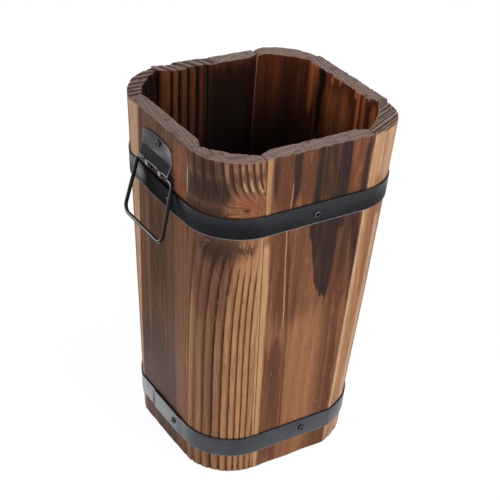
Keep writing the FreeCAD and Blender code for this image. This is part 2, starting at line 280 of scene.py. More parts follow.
staves = {
    "front_stave": dict(
        look="redBrown", seed=11, topUp=0.6, lean=-6.5, pitch=17, wander=3.0, relief=0.14, rimRelief=1.1,
        rimLine=0.6, bite=0.9,
        warms=[(0.5, 4, (340, 6, 22), (412, 7, 22)), (0.4, 4, (345, 40, 54), (412, 40, 56))],
        burnsAndShade=[
            (0.75, (2.5, 3, 16, 5), (358, -55, -49.5), (414, -57, -49)),
            (0.8, (2.5, 4, 18, 6), (344, -31, -24), (370, -31, -21), (404, -34, -22), (414, -34, -22)),
            (0.35, 3, (290, -29, -24), (345, -31, -23)),
            (0.9, (3, 4, 6, 4), (300, -6, 6), (388, -5, 5), (414, -5, 4)),
            (0.75, 4, (300, 3, 22), (414, 4, 24)),
            (0.9, (4, 3, 6, 4), (300, 14, 38), (344, 18, 38), (361, 20, 38), (383, 22, 38), (414, 23, 37)),
            (0.8, 2.5, (330, 53, 63), (365, 53, 61), (400, 56, 62)),
            (1.0, (1.3, 5, 5, 6), (220, 15, 24), (232, 10, 27), (246, 7, 29), (288, -1, 31), (316, -5, 32),
             (330, -6, 33)),
            (0.75, 5, (195, 53, 60), (216, 55, 62), (250, 53, 62), (283, 48, 60), (322, 42, 58)),
            (0.5, 5, (235, 34, 45), (322, 36, 50)), (0.35, 4, (60, 46, 56), (200, 50, 62)),
            (0.6, (2.2, 1.2, 16, 4), (40, -19, -15.5), (172, -23, -19.5), (303, -31.5, -27.5)),
        ],
        pales=[
            (0.85, (2, 3.5, 12, 4), (-10, -70, -43.5), (58, -70, -45), (166, -70, -48), (254, -70, -50),
             (309, -70, -53.6)),
            (0.6, (2, 3, 12, 4), (309, -70, -54), (414, -70, -58)),
            (0.7, 0.9, (190, -27.6, -26), (223, -28.8, -27), (255, -30.6, -29), (287, -33, -31),
             (318, -35, -33), (356, -32.4, -30.6), (376, -32.4, -30.6)),
            (0.35, 0.8, (265, 32, 33.6), (286, 34, 36), (308, 39, 41), (320, 41, 43)),
            (0.6, 1.2, (338, 61, 66), (396, 62, 66)),
        ],
        tones=[
            (-0.5, 9, (205, -46, 60), (330, -52, 62)), (-0.8, 9, (335, -52, 64), (420, -52, 64)),
            (0.3, 9, (40, -16, 34), (190, -20, 30)), (-0.65, 5, (0, -45, -20), (170, -48, -24)),
        ],
        splinters=[
            ((41, 226), (44, 219)), ((22, 127), (21, 114)), ((5, 90), (6, 88)), ((28, 70), (32, 69)),
            ((-10, 250), (-10.5, 240)), ((36, 160), (36.5, 151)),
        ],
    ),
    "front_left_corner_stave": dict(
        corner=True, look="ridged", seed=23, teeth=1.6, topUp=-0.3, lean=2.2, wander=0.9, relief=0.6,
        rimRelief=0.4, rimLine=0.4, lines=[-39, -27.5, -16, -4.8, 5, 14, 21.5, 28, 35, 42], groove=0.22,
        bite=1.0, drift=[(0, 0.5), (180, 0), (270, -1.5), (330, 0), (406, 4.5)],
        knots=[(25, 351, 15, -5.5, 0.6)], sways=[(5, 325, 38, -2.4)],
        warms=[(0.5, 8, (336, 8, 44), (366, 12, 46))], topChar=0.8,
        burnsAndShade=[
            (0.75, (12, 12, 20, 5), (280, -14, 16), (300, -26, 22), (322, -30, 24)),
            (0.75, (6, 5, 7, 4), (299, 16, 35), (311, 12, 37)),
            (0.95, (6, 9, 16, 1.5), (352, -56, 10), (386, -56, 8)),
            (0.65, (8, 8, 9, 2), (384, -56, 0), (420, -56, -6)),
            (0.82, (8, 14, 12, 2), (334, -56, 0), (356, -56, 14)),
            (0.55, (7, 6, 6, 3), (380, 6, 48), (394, 4, 48)), (0.3, 8, (-5, -46, -16), (60, -46, -16)),
            (0.5, 3, (336, -36, -28), (414, -38, -27)),
        ],
        pales=[
            (0.6, 4.5, (-10, 40, 52), (260, 38.5, 52), (335, 40, 52)),
            (0.8, 0.8, (40, -45, -42.8), (312, -45, -42.8)),
            (0.95, (0.7, 0.7, 2, 0.5), (372, 22.6, 25.4), (377, 21.2, 23), (386, 20.2, 20.8)),
            (0.95, (0.7, 0.7, 2, 0.5), (372, 29.4, 34), (378, 27.8, 30), (390, 26.9, 27.5)),
            (0.95, (0.7, 0.7, 2, 0.5), (370, 39, 44), (376, 37, 39.2), (386, 35.4, 36.2)),
        ],
        calms=[
            (1.0, (12, 8, 5, 1.5), (330, -60, 60), (367, -60, 60)),
            (0.9, (14, 10, 14, 4), (298, -34, 60), (330, -40, 60)),
            (0.85, (8, 6, 10, 4), (278, 14, 60), (302, 8, 60)),
            (0.45, (6, 8, 20, 4), (-20, -60, -20), (300, -60, -16)),
        ],
        tones=[
            (0.6, 12, (-10, 12, 50), (290, 12, 50)), (-0.15, 10, (-10, -46, -20), (320, -46, -18)),
            (-0.7, 14, (236, -40, 14), (330, -46, 22)), (-0.4, 10, (335, -46, 16), (414, -46, 16)),
            (-0.3, 8, (338, 2, 50), (374, 2, 50)),
        ],
        splinters=[
            ((-18, 309), (-15, 312), (-12, 310)), ((18, 309), (21, 309)), ((27, 295), (30, 292)),
            ((22, 272), (25, 274), (26, 270)), ((31, 272), (33, 270)), ((-32, 136), (-30, 133)),
            ((24, 303), (26, 300), (27, 296)), ((28, 306), (30, 302)), ((33, 304), (34, 299), (34, 295)),
            ((30, 296), (32, 292), (33, 287)), ((26, 290), (28, 286)), ((36, 300), (37, 294)),
            ((-20, 303), (-17, 307)),
        ],
    ),
    "left_stave": dict(
        turn=-90, look="greyBrown", seed=37, bevels=(0.2, 1), topUp=0.2, lean=5.6, pitch=14, relief=0.12,
        rimLine=0.9, bite=0.8,
        warms=[(0.7, 5, (338, 38, 58), (398, 36, 60)), (0.3, 6, (20, 38, 62), (330, 38, 62))],
        splinters=[((-14, 400), (-9, 400)), ((-50, 300), (-50.5, 290)), ((40, 210), (40.5, 200))],
        burnsAndShade=[
            (0.42, (12, 14, 30, 4), (10, -40, 20), (90, -36, 18), (180, -20, 6)),
            (0.45, 4, (342, -45, -37), (414, -46, -34)), (0.4, 3, (60, 22, 30), (250, 24, 31)),
            # the strip from 338 to 358 high is painted shadow under the hinge plate's hood
            (0.5, 5, (342, 29, 37), (414, 28, 36)), (1.0, (4, 4, 3, 1), (338, -25, 34), (358, -25, 35)),
        ],
        pales=[
            (1.2, 2.4, (120, -70, -49), (250, -70, -46), (330, -70, -44), (414, -70, -41)),
            (0.6, 2, (-5, -70, -45), (150, -70, -48)), (0.42, 0.6, (60, -27.4, -26), (300, -27.4, -25.6)),
            (0.4, 0.6, (60, 14.3, 15.7), (300, 15, 16.4)), (0.5, 1.5, (398, -16, -4), (403, -16, -4)),
            (0.8, (0.7, 0.7, 14, 4), (350, 61, 66), (390, 62, 66)),
        ],
        tones=[
            (0.45, 8, (60, 32, 66), (330, 34, 66)), (0.3, 5, (200, -40, -30), (330, -40, -30)),
            (-0.3, 8, (200, -25, 10), (310, -25, 10)), (-1.0, 16, (0, -60, 34), (130, -50, 22)),
        ],
    ),
    "front_right_corner_stave": dict(
        corner=True, turn=90, flat=[(0, 0.36), (60, 0.38), (180, 0.18), (300, 0.06), (406, 0)], look="tan",
        seed=41, teeth=1.3, topUp=1.0, slices=-64, pitch=4.4, wander=0.8, relief=0.2, rimRelief=1.3,
        rimLine=1.0, bite=1.8, groove=0.3,
        burnsAndShade=[(0.35, 6, (-10, 16, 40), (414, 16, 40)), (0.4, 2, (150, -30, -26), (414, -29, -25))],
        tones=[(-0.3, 6, (180, -36, -20), (330, -36, -20)), (0.3, 8, (345, -44, 10), (420, -44, 10))],
        splinters=[((-39, 31), (-36, 29), (-33, 26)), ((-40, 247), (-36, 245)), ((-34, 200), (-34, 192))],
        pales=[
            (0.6, 4, (-10, -50, -38), (414, -50, -40)), (0.6, 3, (-10, -22, -8), (300, -22, -10)),
            (0.5, 4, (345, -36, -8), (414, -36, -6)),
        ],
    ),
    "right_stave": dict(
        turn=90, look="redBrown", seed=53, topUp=3.8, lean=6.0, pitch=17, relief=0.25, rimRelief=1.4,
        bite=2.8, knots=[(-22, 170, 7, 2.2, 1.6)], groove=0.2,
        pales=[(0.7, 1.5, (-10, 45, 70), (160, 49, 70), (310, 54, 70))],
        splinters=[((9, 253), (11, 247)), ((-14, 120), (-13, 112))],
        burnsAndShade=[
            (0.9, 1.8, (300, 15, 25), (414, 16, 26)), (0.85, 1.6, (318, -6, 2), (414, -6, 2)),
            (0.85, 2, (290, -46, -35), (414, -46, -34)), (0.6, 3, (310, 39, 51), (414, 39, 51)),
            (0.45, 6, (80, 24, 44), (320, 24, 46)), (0.4, 8, (10, -36, -6), (160, -30, -8)),
        ],
        innerPales=[
            (0.9, 9, (345, 44, 72), (412, 38, 72)), (1.0, 1.2, (290, -42, -36), (414, -41, -35)),
            (0.9, 1.2, (290, -52, -46), (414, -51, -45)), (0.5, 9, (330, -30, 18), (400, -32, 24)),
            (0.8, 2, (290, -66, -58), (400, -66, -57)),
            (1.2, (0.8, 0.8, 2.5, 1.5), (401, 25, 30), (412, 24, 31)),
            (1.2, (0.8, 0.8, 2.5, 1.5), (400, 8, 14), (412, 7, 15)),
            (1.2, (0.8, 0.8, 2.5, 1.5), (399, -36, -30), (412, -37, -28)),
            (1.2, (0.8, 0.8, 2.5, 1.5), (401, -4, -1), (412, -5, 0)),
        ],
        innerBurns=[
            (0.9, 2.5, (330, 26, 34), (376, 27, 37), (395, 22, 34), (414, 26, 38)),
            (0.95, 1.5, (350.5, -1, 2.5), (357, -1, 2.5)),
        ],
    ),
    "rear_right_corner_stave": dict(
        corner=True, turn=180, look="ridged", seed=61,
        rimRise=[(-44, 0.6), (30, 0.0), (38, -1.6), (44, -4.8)], lean=3.0, pitch=12, relief=0.4,
        rimRelief=0.4, rimLine=0.3, bite=0.6,
        burnsAndShade=[(0.5, 8, (310, -36, 14), (414, -36, 14)), (0.4, 8, (-10, 6, 34), (120, 6, 34))],
        pales=[(0.4, 3, (-10, -50, -32), (300, -50, -34))], splinters=[((3, 212), (5, 208))],
        innerPales=[
            (1.1, 0.4, (150, 43.3, 50), (414, 43.2, 50)), (0.3, 8, (330, 2, 20), (414, 0, 14)),
            (0.3, 8, (330, -46, -22), (414, -46, -24)),
        ],
        innerBurns=[
            (0.5, 4, (320, 18, 30), (414, 26, 36)), (0.5, 5, (320, -18, -8), (414, -6, 3)),
            (0.32, 6, (200, -40, 38), (414, -40, 38)),
        ],
    ),
    "rear_stave": dict(
        turn=180, look="greyBrown", seed=71, topUp=1.6,
        rimRise=[(-64, -1.8), (-6, -0.9), (6, 1.1), (64, 1.1)], lean=[(-16, -2.7), (-6, 0.5)], wander=0.8,
        relief=0.4, rimRelief=2.4, rimStep=1.3, rimLine=1.0, saw=0.4,
        lines=[-150, -120, -95, -76, -62, -30, 4.2, 14.1, 27.9, 38.8, 49.7, 59.5, 72, 84], innerRelief=1.6,
        ridges=(-7, 99), bite=0.8, knots=[(-30, 250, 8, 2.4, 1.6)],
        pales=[(0.7, 1.5, (-10, 45, 70), (160, 49, 70), (320, 55, 70))], splinters=[((-9, 193), (-7, 187))],
        innerPales=[(0.45, 3, (250, 8, 66), (414, 8, 66))],
        innerBurns=[(0.7, 8, (250, -66, 2), (400, -66, 2))],
        burnsAndShade=[
            (0.6, 8, (290, -58, -22), (414, -58, -22)), (0.5, 5, (315, 20, 40), (414, 20, 40)),
            (0.4, 10, (10, -30, 30), (130, -26, 26)),
        ],
    ),
    "rear_left_corner_stave": dict(
        corner=True, turn=-90, flat=[(0, 0.38), (406, 0.38)], look="ridged", seed=83, teeth=1.4,
        edges=(13.5, 17.8), topUp=2.0, slices=90, wander=0.5, relief=0.7, rimRelief=3.0, rimStep=1.0,
        rimLine=1.0, lines=[-62, -53, -44.5, -36, -27, -18.5, -9.5, -1, 8], innerRelief=1.2, groove=0.26,
        saw=0.45, bite=0.6, drift=[(0, 1), (406, -1)],
        burnsAndShade=[(0.5, 8, (300, -32, 32), (414, -32, 32)), (0.4, 5, (30, -30, -12), (210, -30, -12))],
        pales=[(0.5, 3, (-10, 30, 50), (414, 32, 50))], splinters=[((9, 281), (11, 279))],
        innerBurns=[(0.75, 5, (250, -50, 50), (414, -50, 50))],
    ),
}
staves = {name: {**plainStave, **spec} for name, spec in staves.items()}

staveGrid = dict(
    across=0.6, up=2.0, insideUp=3.6,  # spacing of the vertices
    rim=24, foot=10, arc=5,  # how many lie across the rim, the foot and each rounding
    rimRound=1.3, footRound=1.0, smooth=62,
)

# What saw, brush, fire and bands leave on every stave, and the painted shade inside, as depths in millimetres
# or shares of burn.
staveWear = dict(
    short=0.2,  # a plain rim ends this much below the CAD's
    lineAt=0.92,  # place of the dark line on the way from one ring to the next
    fibre=0.09,
    sawn=0.12,  # saw marks of the rim
    hollow=0.3,  # broad hollows of the rim
    nick=0.35,  # nicks of the rim's outer edge, as a share of the bites
    footUneven=0.35,
    edge=0.9,
    bandDent=0.7,
    charred=(338, 390),  # heights between which topChar sets in
    shadowy=(290, 400),  # heights between which the darkening inside ends: painted shade, with some soot of the charred inside
    darkShade=0.9,
    seamBurn=0.45,
    rimBurn=0.7,
    patchBurn=0.55,  # patches on the rim's end grain
    shadeColour=(0.0035, 0.0026, 0.0022, 1.0),
    cutDark="#6b534a",
    cutRaw="#ab8a70",  # fresh wood in the bites
)
staveLayers = ("ring", "burnAndShade", "pale", "tone", "warm", "inside", "endGrain", "lined", "darkShade", "raw")
halfBand = tub["bandWidth"] / 2
bandEdges = [(middle - halfBand, middle + halfBand) for middle in tub["bandHeights"].values()]


def woodMaterial(name, look):
    material, flow = newMaterial(name)
    colours = {key: tint(code) for key, code in look.items() if isinstance(code, str)}
    layers = (readLayer(flow, key) for key in staveLayers)
    ring, burnAndShade, pale, tone, warm, inside, endGrain, lined, darkShade, raw = layers
    fibre = stretched(flow, (1100, 1100, 18), 3.0)
    streak = stretched(flow, (130, 130, 3.5), 3.0)
    broad = stretched(flow, (34, 34, 1.6), 2.0)
    grain = stretched(flow, (430, 430, 6.5), 2.0)
    speckle = stretched(flow, (1300, 1300, 1300), 2.0)
    blotch = stretched(flow, (120, 120, 48), 3.0)
    fleck = stretched(flow, (620, 620, 64), 1.0)
    perRing = {"W": ring * 5.0, "Scale": 1.0, "Detail": 3.0}
    figure = flow.add("ShaderNodeTexNoise", perRing, noise_dimensions="1D")

    # outer face: rings and streaks, then pale, warm, flecked and burnt places, with painted shade above the
    # bands and under the left hinge plate's hood
    phase = flow.maths("FRACT", ring + (fibre - 0.5) * 0.12)
    line = phase.between(look["lineStart"], staveWear["lineAt"]) * (1 - phase.between(0.95, 1.0))
    level = look["streaks"] * streak.between(0.3, 0.7) + (0.75 - look["streaks"]) * broad.between(0.35, 0.65)
    level = level + 0.25 * figure.between(0.3, 0.7) + tone
    level = level + (1 - lined) * (figure - 0.5) * 1.6
    wood = level.blend(colours["earlyDark"], colours["early"])
    wood = (line * lined * look["lateAmount"]).blend(wood, colours["late"])
    paleMask = (pale + (fibre - 0.5) * 0.3 + (streak - 0.5) * 0.3).between(0.2, 0.8)
    wood = (paleMask * 0.9).blend(wood, colours["pale"])
    wood = (warm * (0.3 + 0.8 * blotch.between(0.4, 0.6))).blend(wood, colours["warm"])
    wood = (fleck.between(0.6, 0.75) * 0.32).blend(wood, colours["late"])
    wood = ((1 - fleck.between(0.2, 0.36)) * 0.28).blend(wood, colours["pale"])
    # the burnt colour also paints shade: a dark line just above each band and the shadow under the left hinge
    # plate's hood
    burnAndShadeMask = (burnAndShade + (fibre - 0.5) * 0.35 + (streak - 0.5) * 0.35).between(0.1, 0.9)
    wood = (burnAndShadeMask * (0.76 + 0.2 * grain.between(0.35, 0.6))).blend(wood, colours["burntAndShade"])

    # inner face, darker further down: painted shade, with some soot of the charred inside
    innerLine = phase.between(0.42, 0.8) * (1 - phase.between(0.97, 1.0)) * lined
    inner = (0.3 * streak + 0.7 * broad).between(0.2, 0.6)
    inner = inner.blend(colours["insideDark"], colours["inside"])
    inner = paleMask.blend(inner, colours["insideLight"])
    inner = flow.maths("MAXIMUM", innerLine, burnAndShadeMask).blend(inner, colours["insideDark"])
    wood = inside.blend(wood, darkShade.blend(inner, staveWear["shadeColour"]))

    # end grain of the rim and the foot
    cut = figure.between(0.3, 0.7).blend(tint(staveWear["cutDark"]), colours["end"])
    cut = (line * lined + speckle.between(0.5, 0.75) * 0.25).blend(cut, colours["endLine"])
    cut = (burnAndShadeMask * 0.75).blend(cut, colours["burntAndShade"])
    cut = (raw * speckle.between(0.35, 0.65)).blend(cut, tint(staveWear["cutRaw"]))
    wood = endGrain.blend(wood, cut)

    least, most = look["shade"]
    fine = {"Value": 0.4 * fibre + 0.6 * grain, "From Min": 0.3, "From Max": 0.7}
    shade = flow.add("ShaderNodeMapRange", {**fine, "To Min": least, "To Max": most})
    grey = flow.add("ShaderNodeCombineColor", {0: shade, 1: shade, 2: shade})
    shaded = {0: 1.0, 6: wood, 7: grey}
    wood = flow.add("ShaderNodeMix", shaded, out=2, data_type="RGBA", blend_type="MULTIPLY")
    height = fibre * 0.7 + speckle * 0.3
    bump = flow.add("ShaderNodeBump", {"Strength": 0.35, "Distance": 0.0004, "Height": height})
    rough = 0.5 + 0.2 * fibre - 0.08 * burnAndShadeMask
    closeMaterial(flow, {"Base Color": wood, "Roughness": rough, "Normal": bump, "Specular IOR Level": 0.12})
    return material


def stripMasks(strips, u, v, feather, seed):
    # Amount and mask of each strip. Its ends run out along the fibres.
    wobble = 0.5 * softNoise(u, v, 9, 30, seed)
    for i, (amount, soft, *rungs) in enumerate(strips):
        heights, lefts, rights = np.array(rungs, float).T
        ragged = softNoise(u, 0, 2.4, 1, seed + i) + 0.6 * softNoise(u, 0, 7, 1, seed + i + 40)
        if isinstance(soft, (int, float)):
            soft = (soft, soft, max(feather, 1.6 * soft), min(feather, 2 * soft))
        softLeft, softRight, run, rag = soft
        w = v + rag * ragged
        left = np.interp(w, heights, lefts)
        right = np.interp(w, heights, rights)
        across = ease(left - softLeft, left + softLeft, u + wobble)
        across = across * (1 - ease(right - softRight, right + softRight, u + wobble))
        ends = ease(heights[0] - run, heights[0] + run, w)
        yield amount, across * ends * (1 - ease(heights[-1] - run, heights[-1] + run, w))


def strongest(strips, u, v, feather, seed):
    total = np.zeros_like(u)
    for amount, mask in stripMasks(strips, u, v, feather, seed):
        total = np.maximum(total, amount * mask)
    return total


def ringLines(spec):
    # places of the dark lines: those given, or random ones over more than the stave's width
    if spec["lines"]:
        return np.array(spec["lines"], float)
    span = 420
    gaps = np.random.default_rng(spec["seed"]).uniform(0.65, 1.35, int(span / spec["pitch"])) * spec["pitch"]
    return np.cumsum(gaps) - span / 2


def ringCount(spec, points, u, v, depth):
    # rings crossed up to this point, growing evenly from one dark line to the next
    slow = spec["wander"] * softNoise(u, v, 60, 90, spec["seed"] + 1)
    quick = 0.35 * softNoise(u, v, 14, 45, spec["seed"] + 2)
    if spec["slices"] is None:
        lean = track(u, spec["lean"]) if isinstance(spec["lean"], list) else spec["lean"]
        place = u + lean * depth
    else:
        way = math.radians(spec["slices"])
        place = (points[..., :2] + sideHalf(v)[..., None]) @ np.array([math.sin(way), -math.cos(way)])
    place = place + track(v, spec["drift"]) + slow + quick
    lines = ringLines(spec)
    count = np.interp(place, lines, np.arange(len(lines)))
    before = (place - lines[0]) / (lines[1] - lines[0])
    beyond = len(lines) - 1 + (place - lines[-1]) / (lines[-1] - lines[-2])
    count = np.where(place < lines[0], before, count)
    count = np.where(place > lines[-1], beyond, count)
    for across, up, size, strength, stretch in spec["knots"]:
        count = count + strength * np.exp(-np.hypot((u - across) / size, (v - up) / (size * stretch)))
    for across, up, size, strength in spec["sways"]:
        count = count + strength * np.exp(-np.hypot(u - across, v - up) / size) * ease(up + 14, up, v)
    return count


def staveReach(spec, z):
    # half the width of the outer face, along its surface
    return tub["cornerRadius"] * math.pi / 4 if spec["corner"] else sideHalf(z)


def staveColumns(spec):
    reach = staveReach(spec, tub["height"])
    edge = np.array([0, 0.35, 0.8, 1.3]) / reach
    middle = np.linspace(-1 + 2 / reach, 1 - 2 / reach, int(2 * reach / staveGrid["across"]))
    return np.concatenate([-1 + edge, middle, (1 - edge)[::-1]])


def staveLoop(top):
    # The section's outline as (depth share, depth in millimetres, height, end grain, side) for each vertex
    big, small = staveGrid["rimRound"], staveGrid["footRound"]
    under = top - big
    turns = np.linspace(0, math.pi / 2, staveGrid["arc"] + 2)[1:-1]
    arc = [(math.cos(a), math.sin(a), a) for a in turns]
    rows = [(0, 0, z, 0, "outer") for z in np.linspace(small, under, int(top / staveGrid["up"]))]
    rows += [(0, big * (1 - c), under + big * s, ease(0.0, 0.7, a), "rim") for c, s, a in arc]
    rows += [(share, big * (1 - 2 * share), top, 1, "rim") for share in np.linspace(0, 1, staveGrid["rim"])]
    rows += [(1, -big * (1 - s), under + big * c, ease(0.2, 1.2, math.pi / 2 - a), "rim") for c, s, a in arc]
    rows += [(1, 0, z, 0, "inner") for z in np.linspace(under, small, int(top / staveGrid["insideUp"]))]
    rows += [(1, -small * (1 - c), small - small * s, 1, "foot") for c, s, a in arc]
    rows += [(share, small * (1 - 2 * share), 0, 1, "foot") for share in np.linspace(1, 0, staveGrid["foot"])]
    rows += [(0, small * (1 - s), small - small * c, 1, "foot") for c, s, a in arc]
    return rows


def cornerPull(spec, turn, z):
    # how far a flattened corner lies inside its quarter round
    chamfer = 1 - math.sqrt(0.5) / np.cos(turn - math.pi / 4)
    return track(z, spec["flat"]) * tub["cornerRadius"] * chamfer


def stavePoints(spec, t, share, extra, z):
    # Plain surface of a stave in millimetres, for the side that faces -Y or the corner between -X and -Y
    half = halfWidth(z)
    side = sideHalf(z)
    if not spec["corner"]:
        keep = 1 - tub["seamGap"] / side
        u = t * side
        bevelled = np.clip((np.abs(u) - side + tub["innerBevel"]) / tub["innerBevel"], 0, 1)
        bevelled = bevelled * np.where(u < 0, *spec["bevels"])
        inner = levelThickness - (levelThickness - tub["cornerEdge"]) * bevelled
        depth = share * inner + extra
        return np.stack([u * keep, -half + depth, z], -1), u, depth
    radius = tub["cornerRadius"]
    reach = staveReach(spec, z)
    across = (1 + t * (1 - tub["seamGap"] / reach)) / 2
    turn = math.pi / 2 * across
    ray = np.stack([np.cos(turn), np.sin(turn)], -1)
    pull = ray * cornerPull(spec, turn, z)[..., None]
    outer = pull - side[..., None] - radius * ray
    start, stop = (radius - edge for edge in spec["edges"])
    middle = radius - tub["cornerMiddle"] - (start + stop) / 2 * math.sqrt(0.5)
    hollow = 4 * across * (1 - across) * middle * math.sqrt(0.5)
    inner = np.stack([-side - start * (1 - across) - hollow, -side - stop * across - hollow], -1)
    thickness = np.linalg.norm(inner - outer, axis=-1)
    depth = share * thickness + extra
    flat = outer + (inner - outer) * (depth / thickness)[..., None]
    return np.concatenate([flat, z[..., None]], -1), t * reach, depth


def staveSkin(spec):
    # Plain surface and rings of a stave. Rows of vertices run across it, each closed round the section.
    top = tub["height"] - staveWear["short"] + spec["topUp"]
    columns = [np.array(column) for column in zip(*staveLoop(top))]
    t, share = np.meshgrid(staveColumns(spec), columns[0], indexing="ij")
    extra, z, endGrain, side = (np.broadcast_to(column, t.shape) for column in columns[1:])
    sides = {key: side == key for key in ("outer", "rim", "inner", "foot")}
    points, u, depth = stavePoints(spec, t, share, extra, z)
    along = np.gradient(points, axis=0)
    around = (np.roll(points, -1, axis=1) - np.roll(points, 1, axis=1)) / 2
    normals = np.cross(along, around)
    normals /= np.linalg.norm(normals, axis=-1, keepdims=True) + 1e-12
    edge = (1 - np.abs(t)) * staveReach(spec, z)
    # each ridge rises a little to its dark line and drops into a groove there
    ring = ringCount(spec, points, u, z, depth)
    phase = ring - np.floor(ring)
    apart = np.abs(phase - staveWear["lineAt"])
    groove = 1 - ease(0, spec["groove"], np.minimum(apart, 1 - apart))
    first, last = spec["ridges"]
    ridged = 0.2 + 0.8 * ease(first - 4, first + 4, u) * (1 - ease(last - 4, last + 4, u))
    return SimpleNamespace(
        top=top, t=t, share=share, u=u, z=z, depth=depth, edge=edge, endGrain=endGrain, **sides,
        points=points, normals=normals, ring=ring, phase=phase, groove=groove, ridged=ridged,
    )


def staveMarks(spec, skin):
    # Burnt places with painted shade among them, pale, warm and toned places, and nearness to a knot
    u, z, seed = skin.u, skin.z, spec["seed"]
    insideHere = skin.inner | (skin.rim & (skin.share > 0.5))
    feathers = dict(innerBurns=6, burnsAndShade=6, innerPales=9, pales=12, warms=8)
    masks = (strongest(spec[key], u, z, feathers[key], seed + 11 + i) for i, key in enumerate(feathers))
    burnInside, burnAndShadeOutside, paleInside, paleOutside, warm = masks
    burnAndShade = np.where(skin.foot, 0, np.where(insideHere, burnInside, burnAndShadeOutside))
    pale = np.where(insideHere, paleInside, paleOutside)
    warm = warm * skin.outer
    tone = np.zeros_like(u)
    for amount, mask in stripMasks(spec["tones"], u, z, 16, seed + 16):
        tone += amount * mask
    tone += 0.25 * softNoise(np.floor(skin.ring), 0, 1, 1, seed + 17)
    charred = spec["topChar"] * ease(0.3, 0.6, skin.phase) * ease(*staveWear["charred"], z) * skin.outer
    burnAndShade = np.maximum(burnAndShade, charred * (0.75 + 0.25 * softNoise(u, z, 5, 20, seed + 20)))
    knotty = np.zeros_like(u)
    for across, up, size, _, stretch in spec["knots"]:
        away = np.hypot((u - across) / size, (z - up) / (size * stretch))
        red = np.hypot(u - across, z - up) / (0.65 * size)
        warm = np.maximum(warm, 0.95 * np.exp(-red ** 2) * skin.outer)
        heart = 0.8 * np.exp(-(away / 0.3) ** 2) * skin.outer
        burnAndShade = np.maximum(burnAndShade * (1 - 0.8 * np.exp(-away ** 2)), heart)
        knotty = np.maximum(knotty, np.exp(-(away / 1.1) ** 2))
    return burnAndShade, pale, warm, tone, knotty


def staveSink(spec, skin, burnAndShade, calm, bite):
    # Depth of each vertex below the plain surface
    u, z, share, seed = skin.u, skin.z, skin.share, spec["seed"]
    amount = np.where(skin.inner, spec["innerRelief"] * skin.ridged, spec["relief"])
    amount = np.where(skin.rim, spec["rimRelief"] * skin.ridged, amount)
    amount = np.where(skin.outer, amount * (1 - 0.5 * burnAndShade) * (1 - calm), amount)
    sink = amount * ((1 - spec["saw"]) * skin.groove + spec["saw"] * (1 - skin.phase))
    sink += staveWear["fibre"] * (1 + softNoise(u, z, 1.3, 38, seed + 3)) * (1 - skin.endGrain)
    rough = staveWear["sawn"] * (1 + softNoise(skin.ring * 6, z + u, 1, 9, seed + 4))
    rough += staveWear["hollow"] * (1 + softNoise(u, skin.depth, 14, 30, seed + 5))
    sink += skin.endGrain * skin.rim * rough
    # bites out of the rim's inner edge, small ones out of its outer edge
    nick = ease(0.45, 0.9, softNoise(u, 0, 2.6, 1, seed + 9)) * ease(0.25, 0.0, share)
    sink += spec["bite"] * ease(skin.top - 7, skin.top, z) * (bite + staveWear["nick"] * nick)
    # grooves notch the foot's edge, which is a little uneven
    nearFoot = np.where(skin.outer, ease(20, 1, z), skin.foot * ease(0.45, 0.1, share))
    uneven = staveWear["footUneven"] * (1 + softNoise(u, 0, 11, 1, seed + 23))
    sink += nearFoot * (spec["teeth"] * skin.groove + uneven)
    # worn long edges and the dents that the bands press into the wood
    wearAndGlint = 1.1 + 0.5 * softNoise(z, skin.t, 22, 1, seed + 6)
    worn = staveWear["edge"] * np.clip(1 - skin.edge / wearAndGlint, 0, 1) ** 2
    sink += np.where(skin.outer | skin.rim, worn, 0)
    for low, high in bandEdges:
        pressed = skin.outer * staveWear["bandDent"] * ease(low - 0.6, low + 0.4, z)
        sink += pressed * (1 - ease(high + 0.5, high + 1.6, z))
    return sink


def singedAndShaded(spec, skin, burnAndShade):
    # Adds painted shade just above the bands, and the burns along the seams and on the rim
    u, z, seed = skin.u, skin.z, spec["seed"]
    # painted shade: a dark line on the wood just above each band's top edge
    for _, high in bandEdges:
        above = skin.outer * ease(high - 2, high, z) * (1 - ease(high + 0.6, high + 2.2, z))
        burnAndShade = np.maximum(burnAndShade, above)
    burnAndShade = np.maximum(burnAndShade, skin.outer * staveWear["seamBurn"] * (1 - ease(0.15, 0.8, skin.edge)))
    along = staveWear["rimBurn"] * ease(-0.2, 0.7, softNoise(u, 0, 6, 1, seed + 18))
    along = along * ease(skin.top - 4, skin.top - 0.5, z) * (1 - ease(0.05, 0.15, skin.share))
    burnAndShade = np.maximum(burnAndShade, along)
    patches = staveWear["patchBurn"] * ease(0.15, 0.8, softNoise(u, skin.depth, 9, 5, seed + 19))
    return np.where(skin.rim, np.maximum(burnAndShade * (1 - skin.endGrain), patches * skin.endGrain), burnAndShade)


